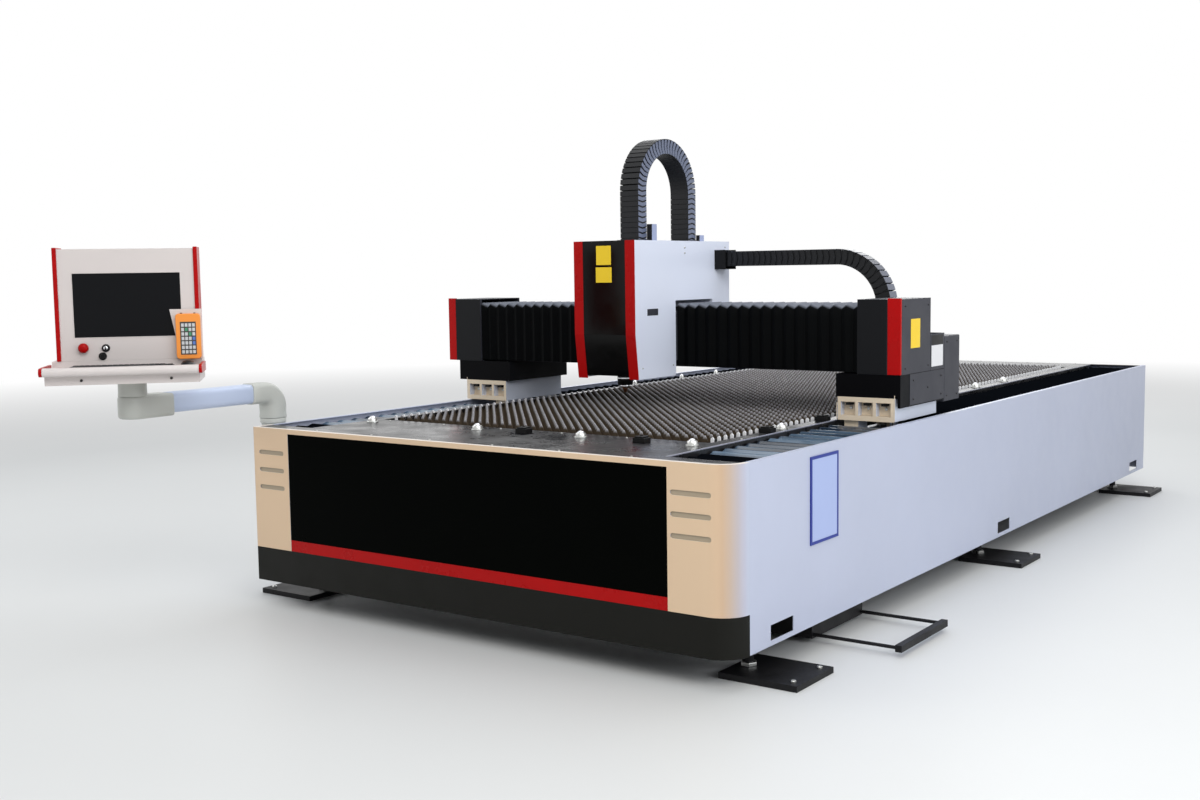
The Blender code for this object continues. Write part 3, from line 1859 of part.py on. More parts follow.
def rest_on_origin(base):
    """Moves the whole so that the origin is the bottom centre of its bounding box."""
    bpy.context.view_layer.update()
    graph = bpy.context.evaluated_depsgraph_get()
    corners = []
    for thing in collection("laser_cutting_machine").objects:
        if thing.type == "MESH":
            shaped = thing.evaluated_get(graph)
            corners += [shaped.matrix_world @ Vector(corner) for corner in shaped.bound_box]
    lowest = [min(corner[i] for corner in corners) for i in range(3)]
    highest = [max(corner[i] for corner in corners) for i in range(3)]
    base.location = [
        -(lowest[0] + highest[0]) / 2,
        -(lowest[1] + highest[1]) / 2,
        -lowest[2],
    ]


def main():
    """Builds the machine from the floor up."""
    clear_scene()
    base = empty("machine", (0, 0, 0), None)
    make_front_cover(base)
    make_plinth(base)
    make_front_panel(base)
    make_side_covers(base)
    make_rear_cover(base)
    make_bed_frame(base)
    make_slag_chute(base)
    make_rails(base)
    make_deck(base)
    make_slat_table(base)
    make_way_covers(base)
    make_sheet_holder(base)
    make_slag_drawer(base)
    gantry = empty("gantry_travel", (gantry_centre, saddle_front, rail_ground), base)
    make_saddles(gantry)
    make_pinions(gantry)
    make_bases(gantry)
    make_end_covers(gantry)
    make_beam(gantry)
    make_drive_box(gantry)
    make_bellows(gantry)
    make_x_chain(gantry)
    make_chain_tray(gantry)
    middle = (head_left + head_right) / 2
    carriage = empty("carriage_travel", (middle, beam_y_front, base_high), gantry)
    make_carriage(carriage)
    make_head_cover(carriage)
    make_head_front(carriage)
    make_z_chain(carriage)
    slide = empty("cutting_slide", (middle, head_axis_y, nozzle_low), carriage)
    make_cutting_head(slide)
    arm = make_arm(base)
    console = console_axis(arm)
    make_console_box(console)
    make_controls(console)
    make_tray(console)
    make_remote(console)
    rest_on_origin(base)


main()
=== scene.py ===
"""The laser cutting machine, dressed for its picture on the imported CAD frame.

Pieces are modelled in metres about the middle of the bed on the floor: x to the
machine's right, y towards its rear, z up. `shift` carries them to the CAD's frame.
"""

import math
import random

import bmesh
import bpy
from mathutils import Matrix, Vector


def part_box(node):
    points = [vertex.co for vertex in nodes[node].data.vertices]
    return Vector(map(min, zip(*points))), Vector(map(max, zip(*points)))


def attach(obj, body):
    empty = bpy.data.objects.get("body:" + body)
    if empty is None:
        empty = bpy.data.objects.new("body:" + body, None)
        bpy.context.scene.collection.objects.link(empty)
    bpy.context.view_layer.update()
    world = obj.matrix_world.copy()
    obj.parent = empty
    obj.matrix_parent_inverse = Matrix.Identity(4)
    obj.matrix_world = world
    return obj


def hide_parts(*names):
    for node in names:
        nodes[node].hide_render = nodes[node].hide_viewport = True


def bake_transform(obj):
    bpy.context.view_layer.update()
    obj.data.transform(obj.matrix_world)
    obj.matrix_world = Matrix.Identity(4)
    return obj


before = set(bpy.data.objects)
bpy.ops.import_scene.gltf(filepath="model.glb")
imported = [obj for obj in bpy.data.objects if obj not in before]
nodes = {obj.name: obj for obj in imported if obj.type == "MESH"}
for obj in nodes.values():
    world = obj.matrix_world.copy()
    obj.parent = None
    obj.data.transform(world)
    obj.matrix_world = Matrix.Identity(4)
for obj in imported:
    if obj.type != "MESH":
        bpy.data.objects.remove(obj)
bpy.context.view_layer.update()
bed_half = 1.201
bed_end = 2.6285
arm_x = -1.305
column_y = -3.146
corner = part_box("right_side_cover")[1]
shift = Matrix.Translation((corner.x - bed_half, corner.y - bed_end, 0))
console = Matrix.Translation((arm_x, column_y, 0)) @ Matrix.Rotation(math.radians(48), 4, "Z")
chance = random.Random(7)


# Materials

def tone(colour, share=1):
    """A colour written as 0 to 255 in sRGB, as the shader wants it, times a share."""
    parts = [c / 255 for c in colour]
    light = [c / 12.92 if c <= 0.04045 else ((c + 0.055) / 1.055) ** 2.4 for c in parts]
    return (*(min(1, c * share) for c in light), 1)


class Paint:
    """A Principled material and the nodes that drive it, on the object's own coordinates."""

    def __init__(self, name, roughness, metallic=0.0, shine=0.5):
        self.material = bpy.data.materials.new(name)
        self.material.use_nodes = True
        self.tree = self.material.node_tree
        self.shader = self.tree.nodes["Principled BSDF"]
        self.shader.inputs["Roughness"].default_value = roughness
        self.shader.inputs["Metallic"].default_value = metallic
        self.shader.inputs["Specular IOR Level"].default_value = shine
        self.coordinates = self.node("ShaderNodeTexCoord")
        self.place = self.coordinates.outputs["Object"]

    def node(self, kind, **settings):
        made = self.tree.nodes.new(kind)
        for key, value in settings.items():
            setattr(made, key, value)
        return made

    def link(self, source, target):
        self.tree.links.new(source, target)

    def mapped(self, scale):
        """The object's coordinates, stretched."""
        mapping = self.node("ShaderNodeMapping")
        mapping.inputs["Scale"].default_value = scale
        self.link(self.place, mapping.inputs["Vector"])
        return mapping.outputs["Vector"]

    def noise(self, scale, detail, vector=None, rough=0.5):
        noise = self.node("ShaderNodeTexNoise")
        for key, value in {"Scale": scale, "Detail": detail, "Roughness": rough}.items():
            noise.inputs[key].default_value = value
        self.link(vector or self.place, noise.inputs["Vector"])
        return noise.outputs["Fac"]

    def ranged(self, value, low, high, to_low=0, to_high=1):
        change = self.node("ShaderNodeMapRange")
        self.link(value, change.inputs["Value"])
        ends = {"From Min": low, "From Max": high, "To Min": to_low, "To Max": to_high}
        for key, number in ends.items():
            change.inputs[key].default_value = number
        return change.outputs["Result"]

    def mixed(self, factor, first, second, blend="MIX"):
        mix = self.node("ShaderNodeMix", data_type="RGBA", blend_type=blend)
        for value, number in ((factor, 0), (first, 6), (second, 7)):
            if isinstance(value, bpy.types.NodeSocket):
                self.link(value, mix.inputs[number])
            else:
                mix.inputs[number].default_value = value
        return mix.outputs[2]

    def varied(self, factor, colour, low, high):
        """A colour that drifts between two shares of itself."""
        return self.mixed(factor, tone(colour, low), tone(colour, high))

    def colour(self, value):
        self.link(value, self.shader.inputs["Base Color"])

    def rough(self, value, low, high, start=0.3, stop=0.7):
        """Roughness that wanders between two values with a noise."""
        self.link(self.ranged(value, start, stop, low, high), self.shader.inputs["Roughness"])

    def bump(self, height, strength, distance):
        bump = self.node("ShaderNodeBump")
        bump.inputs["Strength"].default_value = strength
        bump.inputs["Distance"].default_value = distance
        self.link(height, bump.inputs["Height"])
        self.link(bump.outputs["Normal"], self.shader.inputs["Normal"])

    def axis(self, letter, output="Object"):
        split = self.node("ShaderNodeSeparateXYZ")
        self.link(self.coordinates.outputs[output], split.inputs[0])
        return split.outputs["XYZ".index(letter)]

    def facing(self, letter, low=0.3, high=1.0):
        """How far a face looks along an axis, either way."""
        size = self.node("ShaderNodeMath", operation="ABSOLUTE")
        self.link(self.axis(letter, "Normal"), size.inputs[0])
        return self.ranged(size.outputs[0], low, high)


def powder(paint, skin, roughness, grain=420, depth=0.0003, strength=0.25):
    """The fine skin of powder coat, over a colour."""
    paint.colour(skin)
    paint.rough(paint.noise(9, 4), roughness * 0.86, roughness * 1.14)
    paint.bump(paint.noise(grain, 2), strength, depth)
    return paint.material


def coated(name, colour, roughness, vary=0.035, painted_side_light=None, shine=0.5, **skin):
    """Powder coat or moulded plastic: a fine skin, and a slow drift in colour and gloss.
    The tone given to faces that look towards the machine's sides is painted light: a cooler tone that
    stands in for the light falling on them from that side."""
    paint = Paint(name, roughness, shine=shine)
    drift = paint.noise(2.3, 5)
    shade = paint.varied(drift, colour, 1 - vary, 1 + vary)
    if painted_side_light:
        side_lit_tone = paint.varied(drift, painted_side_light, 1 - vary, 1 + vary)
        # Painted side light: faces that look to the sides take the cooler lit tone.
        shade = paint.mixed(paint.facing("X"), shade, side_lit_tone)
    return powder(paint, shade, roughness, **skin)


def corner_light_skin(name, tones, rim, roughness):
    """Powder coat with painted light on it: its tone turns with the facing, as light does round a
    corner.
    `tones` are (how far the face looks to the side, colour), `rim` the painted highlight that what looks
    up takes."""
    paint = Paint(name, roughness)
    turn = paint.node("ShaderNodeValToRGB")
    # Painted light: the colour follows how far the face looks to the side.
    paint.link(paint.facing("X", 0, 1), turn.inputs["Fac"])
    stops = turn.color_ramp.elements
    for index, (share, colour) in enumerate(tones):
        stop = stops[index] if index < 2 else stops.new(share)
        stop.position = share
        stop.color = tone(colour)
    shade = paint.varied(paint.noise(2.3, 5), (255, 255, 255), 0.965, 1)
    skin = paint.mixed(1.0, turn.outputs["Color"], shade, "MULTIPLY")
    # Painted highlight: faces that look up turn to the rim colour.
    return powder(paint, paint.mixed(paint.facing("Z", 0.4, 0.9), skin, tone(rim)), roughness)


def glossy(name, colour, roughness, shine=0.5):
    """A smooth gloss skin with a trace of handling."""
    paint = Paint(name, roughness, shine=shine)
    smudge = paint.noise(6, 6, rough=0.65)
    paint.colour(paint.varied(smudge, colour, 0.85, 1.2))
    paint.rough(smudge, roughness * 0.7, roughness * 1.6, 0.35, 0.75)
    paint.bump(paint.noise(14, 1), 0.05, 0.0008)
    return paint.material


def metal(name, colour, roughness, along=(1, 1, 1)):
    """Steel with brushed or ground streaks."""
    paint = Paint(name, roughness, metallic=1.0)
    streak = paint.noise(60, 4, paint.mapped(along))
    base = paint.varied(paint.noise(5, 4), colour, 0.88, 1.12)
    paint.colour(paint.mixed(streak, base, tone(colour, 0.8)))
    paint.rough(streak, roughness * 0.75, roughness * 1.3)
    paint.bump(streak, 0.15, 0.0003)
    return paint.material


def slat_metal():
    """Saw-toothed slats: rolled sheet, heat-tinted brown below and bare at the tips. The dark low parts
    also hold painted shade between the slats, and the bright tips a painted highlight.
    """
    paint = Paint("slat_steel", 0.45, metallic=0.35)
    soot = paint.noise(30, 5)
    low = paint.mixed(soot, tone((42, 33, 23)), tone((86, 72, 54)))
    high = paint.mixed(soot, tone((176, 176, 180)), tone((226, 226, 232)))
    # Darker below, brighter at the tips: partly heat tint and bare steel, partly painted shade and
    # highlight.
    paint.colour(paint.mixed(paint.ranged(paint.axis("Z"), 0.7865, 0.8), low, high))
    paint.rough(paint.noise(80, 4), 0.32, 0.6)
    paint.bump(paint.noise(220, 4), 0.5, 0.0006)
    return paint.material


def cloth(name, colour, upward_highlight, roughness, shine):
    """Coated woven fabric, with a painted highlight: the paler tone that its upward folds take from the
    light above.
    """
    paint = Paint(name, roughness, shine=shine)
    wear = paint.noise(7, 5)
    skin = paint.varied(wear, colour, 0.75, 1.35)
    over = paint.varied(wear, upward_highlight, 0.8, 1.15)
    # Painted highlight on faces that look up.
    paint.colour(paint.mixed(paint.facing("Z", 0.35, 0.8), skin, over))
    paint.rough(paint.noise(15, 4), roughness * 0.8, roughness * 1.2)
    waves = []
    for direction in ("X", "Z"):
        wave = paint.node("ShaderNodeTexWave", bands_direction=direction)
        wave.inputs["Scale"].default_value = 700
        paint.link(paint.place, wave.inputs["Vector"])
        waves.append(wave.outputs["Fac"])
    paint.bump(paint.mixed(0.5, *waves), 0.3, 0.0003)
    return paint.material


def way_reflection_skin():
    """Folds of the front way covers, whose coat is glossy black: the slate blue and the pale bands
    across are painted reflections of the light that their gloss mirrors.
    """
    paint = Paint("way_cloth_reflected", 0.16)
    band = paint.noise(1, 3, paint.mapped((0.5, 6, 0.5)))
    wear = paint.noise(9, 4)
    dark = paint.mixed(wear, tone((18, 28, 40)), tone((36, 50, 66)))
    pale = paint.mixed(wear, tone((68, 90, 111)), tone((104, 125, 145)))
    # Painted reflections: dark slate and pale bands across the folds.
    paint.colour(paint.mixed(paint.ranged(band, 0.42, 0.56), dark, pale))
    paint.rough(paint.noise(15, 4), 0.1, 0.24)
    paint.bump(paint.noise(40, 3), 0.12, 0.0012)
    return paint.material


def seen_directly(tree):
    """1 for what is seen straight, in a reflection or through glass, and 0 for soft light."""
    path = tree.nodes.new("ShaderNodeLightPath")
    seen = path.outputs["Is Camera Ray"]
    for ray in ("Is Glossy Ray", "Is Transmission Ray"):
        either = tree.nodes.new("ShaderNodeMath")
        either.operation = "MAXIMUM"
        tree.links.new(seen, either.inputs[0])
        tree.links.new(path.outputs[ray], either.inputs[1])
        seen = either.outputs[0]
    return seen


def mixed_shader(tree, share, first, second):
    mix = tree.nodes.new("ShaderNodeMixShader")
    for value, socket in zip((share, first, second), mix.inputs):
        tree.links.new(value, socket)
    return mix.outputs[0]


def floor_material():
    """Pale sealed floor, which turns into the white background far out."""
    paint = Paint("studio_floor", 0.5)
    paint.colour(paint.varied(paint.noise(0.5, 6), (216, 217, 216), 0.96, 1.03))
    paint.bump(paint.noise(30, 3), 0.03, 0.001)
    length = paint.node("ShaderNodeVectorMath", operation="LENGTH")
    paint.link(paint.place, length.inputs[0])
    light = paint.node("ShaderNodeEmission")
    light.inputs["Strength"].default_value = 1
    share = paint.node("ShaderNodeMath", operation="MULTIPLY")
    paint.link(paint.ranged(length.outputs["Value"], 6.5, 15), share.inputs[0])
    paint.link(seen_directly(paint.tree), share.inputs[1])
    mix = mixed_shader(paint.tree, share.outputs[0], paint.shader.outputs[0], light.outputs[0])
    paint.link(mix, paint.tree.nodes["Material Output"].inputs["Surface"])
    return paint.material


# Painted light on the front cover's one off-white paint, by facing: warm on the front, darkened where
# the corner turns to offset the key lamp, cool blue-grey on the side. Its upward faces take a pale
# painted highlight.
corner_light_tones = (
    (0.0, (226, 197, 164)), (1.0, (184, 191, 209)), (0.35, (216, 186, 154)), (0.5, (206, 176, 146)),
    (0.71, (192, 172, 156)), (0.87, (181, 173, 176)), (0.97, (181, 182, 198)),
)
front_white = corner_light_skin("front_white", corner_light_tones, (232, 222, 212), 0.38)
# The side covers' blue-grey is painted light: the same off-white as the front cover, cooled for the
# light that falls on the machine's sides.
side_white = coated("side_white", (182, 188, 208), 0.36, vary=0.06)
head_white = coated("head_white", (224, 230, 246), 0.34)
console_white = coated("console_white", (216, 208, 205), 0.4)
cast_paint = coated("cast_paint", (188, 190, 184), 0.45, grain=260, depth=0.0005, strength=0.35)
arm_paint = coated("arm_paint", (190, 202, 226), 0.35)
plinth_black = coated(
    "plinth_black", (22, 22, 19), 0.5, shine=0.12, grain=600, depth=0.0004, strength=0.4
)
# Charcoal and base black take a paler tone on side-facing faces: painted side light on the same dark
# paint.
charcoal = coated(
    "charcoal", (17, 18, 21), 0.42, painted_side_light=(56, 57, 64), shine=0.12, grain=600, strength=0.35
)
base_black = coated(
    "base_black", (4, 4, 6), 0.45, painted_side_light=(12, 14, 18), shine=0.05, grain=600, strength=0.35
)
deep_black = coated("deep_black", (9, 9, 10), 0.4, shine=0.2)
grey_paint = coated("grey_paint", (58, 59, 66), 0.42, shine=0.12)
panel_black = glossy("panel_black", (3, 4, 3), 0.12, 0.015)
head_black = glossy("head_black", (5, 5, 5), 0.1, 0.18)
deck_black = glossy("deck_black", (22, 22, 25), 0.28)
red_paint = glossy("red_paint", (172, 8, 9), 0.3, 0.12)
yellow_field = coated("yellow_field", (242, 204, 18), 0.4, grain=900)
pale_field = coated("pale_field", (224, 224, 226), 0.5, grain=900)
# The saddles' bluish tone on side-facing faces is painted side light on the beige paint.
saddle_paint = coated(
    "saddle_paint", (222, 205, 180), 0.45, painted_side_light=(202, 208, 222), grain=200, depth=0.0008,
    strength=0.5,
)
blue_frame = coated("blue_frame", (40, 56, 140), 0.35, shine=0.2)
paper = coated("paper", (166, 180, 220), 0.75, grain=1500, depth=0.0001)
frame_black = coated(
    "frame_black", (18, 18, 20), 0.5, shine=0.2, grain=150, depth=0.001, strength=0.4
)
nylon = coated("nylon", (18, 19, 22), 0.38, shine=0.25, grain=900)
# Painted side light on black nylon: the lit tone of the arched chain's outer side plates, then of the
# beam chain's lids where they face the side.
nylon_lit_plates = coated("nylon_lit_plates", (98, 106, 128), 0.35, grain=900)
nylon_lit_lids = coated("nylon_lit_lids", (22, 23, 27), 0.3, painted_side_light=(92, 98, 116), grain=900)
# The chain mounts are black: their pale blue side-facing tone is painted side light.
mount_paint = coated("mount_paint", (16, 16, 18), 0.4, painted_side_light=(150, 160, 190), grain=900)
screen_glass = glossy("screen_glass", (14, 15, 18), 0.12, 0.1)
orange_plastic = coated("orange_plastic", (248, 152, 60), 0.42, grain=800)
key_grey = coated("key_grey", (206, 208, 210), 0.5, grain=1200)
key_blue = coated("key_blue", (86, 122, 196), 0.5, grain=1200)
key_green = coated("key_green", (72, 150, 110), 0.5, grain=1200)
key_dark = coated("key_dark", (34, 34, 38), 0.5, shine=0.25, grain=1200)
bezel_grey = coated("bezel_grey", (58, 56, 52), 0.45, grain=900)
louvre_paint = coated("louvre_paint", (166, 152, 130), 0.45, grain=900)
bare_tab = coated("bare_tab", (238, 238, 240), 0.4, grain=900)
# Pale deck edges: bare steel with a painted highlight.
bare_edge_highlight = coated("bare_edge_highlight", (146, 148, 162), 0.3, grain=900)
steel = metal("bright_steel", (222, 223, 226), 0.2)
ground_steel = metal("ground_steel", (176, 177, 182), 0.26, along=(1, 0.02, 1))
zinc = metal("zinc_screw", (204, 205, 202), 0.3)
dark_steel = metal("dark_steel", (60, 58, 58), 0.4)
copper = metal("copper", (150, 104, 78), 0.32)
slat_steel = slat_metal()
# The bellows' black cloth, and the pale painted highlight on its upward folds.
bellows_cloth = cloth("bellows_cloth", (6, 7, 8), (112, 116, 126), 0.5, 0.03)
way_cloth_reflected = way_reflection_skin()
way_black = cloth("way_black", (7, 8, 10), (10, 12, 16), 0.5, 0.0)


# Shapes

def arc(x, y, radius, start, end, steps):
    angles = [math.radians(start + (end - start) * i / steps) for i in range(steps + 1)]
    return [(x + radius * math.cos(a), y + radius * math.sin(a)) for a in angles]


def add(name, data):
    """A new object in the scene."""
    thing = bpy.data.objects.new(name, data)
    bpy.context.scene.collection.objects.link(thing)
    return thing


class Shape:
    """Faces gathered for one piece. `at` places what is added next, `paint` its material."""

    def __init__(self, at=None):
        self.mesh = bmesh.new()
        self.at = at or Matrix.Identity(4)
        self.paint = 0

    def faces(self, points, faces):
        made = [self.mesh.verts.new(self.at @ Vector(p)) for p in points]
        for face in faces:
            new = self.mesh.faces.new([made[i] for i in face])
            new.material_index = self.paint
            new.smooth = True
        return self

    def box(self, low, high):
        (a, b, c), (d, e, f) = low, high
        points = [(x, y, z) for z in (c, f) for x, y in ((a, b), (d, b), (d, e), (a, e))]
        return self.faces(
            points,
            [(3, 2, 1, 0), (4, 5, 6, 7), (0, 1, 5, 4), (1, 2, 6, 5), (2, 3, 7, 6), (3, 0, 4, 7)],
        )

    def loft(self, rings):
        """Faces between rings of equally many points, closed at both ends."""
        count = len(rings[0])
        last = (len(rings) - 1) * count
        faces = []
        for a in range(0, last, count):
            for i in range(count):
                j = (i + 1) % count
                faces.append((a + i, a + j, a + count + j, a + count + i))
        faces.append(tuple(range(count))[::-1])
        faces.append(tuple(range(last, last + count)))
        return self.faces([p for ring in rings for p in ring], faces)

    def prism(self, outline, low, high, along):
        """An outline swept along an axis: along x it is (y, z), along y (x, z), along z (x, y)."""
        def point(u, v, w):
            return {"x": (w, u, v), "y": (u, w, v), "z": (u, v, w)}[along]

        return self.loft([[point(u, v, w) for u, v in outline] for w in (low, high)])

    def lathe(self, profile, centre, axis="z", sides=24):
        """(radius, distance) points turned about an axis through the centre."""
        angle, about = {"z": (0, "X"), "y": (90, "X"), "-y": (-90, "X"), "x": (90, "Y")}[axis]
        place = Matrix.Translation(centre) @ Matrix.Rotation(math.radians(angle), 4, about)
        turns = [math.tau * i / sides for i in range(sides)]
        return self.loft(
            [[place @ Vector((r * math.cos(a), r * math.sin(a), h)) for a in turns] for r, h in profile]
        )

    def screw(self, centre, axis, r):
        """A pan head with its hexagon socket."""
        profile = [(r, 0), (r, r * 0.45), (r * 0.8, r * 0.7), (r * 0.5, r * 0.7), (r * 0.45, r * 0.25)]
        return self.lathe(profile, centre, axis, 14)

    def made(self, name):
        """The faces as an object, in the CAD's frame."""
        bmesh.ops.recalc_face_normals(self.mesh, faces=self.mesh.faces)
        mesh = bpy.data.meshes.new(name)
        self.mesh.to_mesh(mesh)
        self.mesh.free()
        mesh.transform(shift)
        return add(name, mesh)

    def piece(self, name, body, paints, slot, replaces=None, bevel=0.0, segments=2, sharp=35):
        """The finished piece, riding on its body."""
        thing = self.made(name)
        for paint in paints if isinstance(paints, list) else [paints]:
            thing.data.materials.append(paint)
        thing.data.set_sharp_from_angle(angle=math.radians(sharp))
        if bevel:
            soften(thing, bevel, segments)
        if body:
            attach(thing, body)
        if replaces:
            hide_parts(replaces)
        return thing


def soften(thing, width, segments=2, angle=35):
    """Rounds the outer edges."""
    change = thing.modifiers.new("edges", "BEVEL")
    change.width = width
    change.segments = segments
    change.limit_method = "ANGLE"
    change.angle_limit = math.radians(angle)
    change.harden_normals = True


def repaint(paint, bevel, *names, segments=2):
    """A better material, and softer edges, for CAD nodes that stay."""
    for name in names:
        thing = nodes[name]
        if thing.material_slots:
            for place in thing.material_slots:
                place.link = "OBJECT"
                place.material = paint
        else:
            thing.data.materials.append(paint)
        if bevel:
            soften(thing, bevel, segments)


def carve(thing, cutter):
    """Cuts a closed shape away, and keeps the result as plain mesh."""
    tool = cutter.made("cutter")
    change = thing.modifiers.new("cut", "BOOLEAN")
    change.operation = "DIFFERENCE"
    change.solver = "EXACT"
    change.object = tool
    bpy.context.view_layer.update()
    cut = bpy.data.meshes.new_from_object(thing.evaluated_get(bpy.context.evaluated_depsgraph_get()))
    cut.name = thing.name
    thing.modifiers.clear()
    thing.data = cut
    bpy.data.objects.remove(tool, do_unlink=True)


def follow(thing):
    """Bakes the piece's placement into its mesh."""
    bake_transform(thing)


def plates(name, body, paint, slot, boxes, bevel):
    """A piece made of flat plates and blocks."""
    shape = Shape()
    for low, high in boxes:
        shape.box(low, high)
    shape.piece(name, body, paint, slot, bevel=bevel)


def screw_heads(name, body, paint, slot, heads):
    """A piece made of screw heads, each with its centre, axis and radius."""
    shape = Shape()
    for centre, axis, radius in heads:
        shape.screw(centre, axis, radius)
    shape.piece(name, body, paint, slot)


# Bed

def end_outline(half, line, radius, back, left_radius):
    """A front end seen from above: its left corner is a tight fold, its right one round."""
    left = arc(-half + left_radius, line + left_radius, left_radius, 180, 270, 8)
    right = arc(half - radius, line + radius, radius, 270, 360, 20)
    return [(-half, back), *left, *right, (half, back)]


def front_outline(inset):
    back = -2.5215 + (0.02 if inset else 0)
    return end_outline(bed_half - inset, -bed_end + inset, 0.107 - inset, back, 0.012 - inset)


def stadium(x0, x1, z, half):
    return [*arc(x0 + half, z, half, 90, 270, 8), *arc(x1 - half, z, half, 270, 450, 8)]


slot_ends = ((0.95, 1.113), (-1.16, -1.006))
slot_heights = (0.677, 0.6015, 0.526)


def skirt(name, paint, slot, node, low, high, cutters):
    """Folded sheet round the front end: the outline, less each cutter."""
    sheet = Shape().prism(front_outline(0), low, high, "z").piece(name, None, paint, slot)
    for cutter in cutters:
        carve(sheet, cutter)
    soften(sheet, 0.0012, angle=40)
    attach(sheet, "bed")
    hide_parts(node)


def front_cover():
    inner = Shape().prism(front_outline(0.003), 0.2, 0.78, "z")
    above = Shape().prism(end_outline(1.179, -2.605, 0.085, -2.4, 0.005), 0.7, 0.9, "z")
    cutters = [inner, above, Shape().box((-0.977, -2.7, 0.2), (0.937, -2.62, 0.763))]
    for ends in slot_ends:
        for z in slot_heights:
            cutters.append(Shape().prism(stadium(*ends, z, 0.0095), -2.7, -2.5, "y"))
    skirt("front_cover_sheet", front_white, "off_white", "front_cover", 0.2593, 0.783, cutters)


def vent_louvres():
    """Slanted blades behind the vent slots."""
    blades = Shape()
    inner, half, thick, lean = -bed_end + 0.0033, 0.0125, 0.002, 0.002
    for low, high in slot_ends:
        for z in slot_heights:
            foot, tip = z - half, z + half
            blade = [
                (inner, foot), (inner + thick, foot), (inner + thick + lean, tip), (inner + lean, tip)
            ]
            blades.prism(blade, low - 0.003, high + 0.003, "x")
    blades.piece("vent_louvres", "bed", louvre_paint, "off_white")


def plinth():
    inner = Shape().prism(front_outline(0.003), 0.05, 0.2558, "z")
    above = Shape().prism(end_outline(1.171, -2.5985, 0.077, -2.4, 0.005), 0.2, 0.3, "z")
    skirt("plinth_sheet", plinth_black, "charcoal", "plinth", 0.113, 0.2588, [inner, above])


def dress_sides():
    repaint(panel_black, 0.0008, "front_panel")
    repaint(red_paint, 0.0008, "front_stripe")
    repaint(side_white, 0.0012, "right_side_cover", "left_side_cover")
    repaint(side_white, 0.001, "rear_cover")
    repaint(frame_black, 0, "bed_frame")
    repaint(dark_steel, 0, "slag_chute")
    repaint(frame_black, 0.0012, "slag_drawer")
    repaint(blue_frame, 0.0008, "sheet_holder")
    repaint(paper, 0.0003, "blank_sheet")
    repaint(ground_steel, 0, "right_rail_and_rack", "left_rail_and_rack")


foot_rows = (-2.335, -0.05, 2.33)


def foot_nuts():
    nuts = Shape()
    lower = [(0.032, 0.0225), (0.032, 0.034), (0.028, 0.037), (0.019, 0.037)]
    upper = [(0.03, 0.098), (0.03, 0.112), (0.019, 0.112)]
    for y in foot_rows:
        for x in (-1.09, 1.09):
            nuts.lathe(lower, (x, y, 0), "z", 6)
            nuts.lathe(upper, (x, y, 0), "z", 6)
    nuts.piece("foot_nuts", "bed", zinc, "bright_steel", bevel=0.001)


def floor_plate_screws():
    heads = [
        ((side * 1.32, y + dy, 0.022), "z", 0.011)
        for y in foot_rows
        for side in (-1, 1)
        for dy in (-0.1, 0.1)
    ]
    screw_heads("floor_plate_screws", "bed", zinc, "bright_steel", heads)


# Deck and table

table_left, table_right, table_front, table_rear = -0.893, 0.808, -2.13, 2.25
table_low, table_top, table_bar = 0.641, 0.771, 0.03
deck_left, deck_right, deck_low, deck_top = -0.93, 0.872, 0.778, 0.7827
deck_front, deck_rear = -2.53, 2.57
deck_gap = 0.003
slat_count = 88
slat_pitch = (table_rear - table_front - 2 * table_bar) / slat_count
balls = [(x, -2.24, 1.0) for x in (-0.86, -0.25, 0.285, 0.8)]
balls += [(0.841, y, 1.0) for y in (-1.62, 0.57, 1.0)]
balls += [(-0.913, y, 0.6) for y in (-0.1, 0.4, 0.8)]
stop_places = ((-0.01, -2.23), (0.58, -2.25), (0.841, -1.74), (0.841, -1.25))


def deck_sheet():
    """Sheet round the table, its front end on the cover's outline, with a flange each side."""
    low, top, gap = deck_low, deck_top, deck_gap
    deck = Shape()
    end = end_outline(1.1787, -2.6047, 0.085, deck_front, 0.005)
    end = [point for point in end if point[1] < deck_front - 0.001]
    deck.prism([(-1.178, deck_front), *end, (1.178, deck_front)], low, top, "z")
    deck.box((deck_left, deck_front + 0.0003, low), (deck_right, table_front - gap, top))
    deck.box((deck_left, table_rear + gap, low), (deck_right, deck_rear - 0.0003, top))
    deck.box((-1.1787, deck_rear, low), (1.1787, 2.595, top))
    front, rear = table_front - gap + 0.0003, table_rear + gap - 0.0003
    deck.box((table_right + gap, front, low), (deck_right, rear, top))
    deck.box((deck_left, front, low), (table_left - gap, rear, top))
    deck.box((deck_right - 0.003, -2.52, 0.7003), (deck_right, 2.52, low))
    deck.box((deck_left, -2.52, 0.7003), (deck_left + 0.003, 2.52, low))
    deck.piece("deck_sheet", "bed", deck_black, "gloss_black", "deck_plate", bevel=0.0012)


def deck_edge_lips():
    """Ground edges of the deck along the way covers; their pale colour is partly bare steel and partly a
    painted highlight.
    """
    edges = Shape()
    low, high = 0.7775, 0.7829
    for x, side in ((deck_right, 1), (deck_left, -1)):
        out, back = x + side * 0.0012, x - side * 0.003
        profile = [(x, low), (out, 0.779), (out, 0.782), (x, high), (back, high), (back, low)]
        edges.prism(profile, deck_front + 0.0005, deck_rear - 0.0005, "y")
    edges.piece("deck_edge_lips", "bed", bare_edge_highlight, "bright_steel")


def deck_screws():
    heads = []
    for i in range(12):
        y = -1.98 + i * 0.37
        heads.append(((0.861, y, deck_top), "z", 0.0045))
        heads.append(((-0.922, y, deck_top), "z", 0.0035))
    for i in range(6):
        for y in (-2.595, 2.585, -2.16, 2.28):
            heads.append(((-0.83 + i * 0.32, y, deck_top), "z", 0.0045))
    screw_heads("deck_screws", "bed", zinc, "bright_steel", heads)


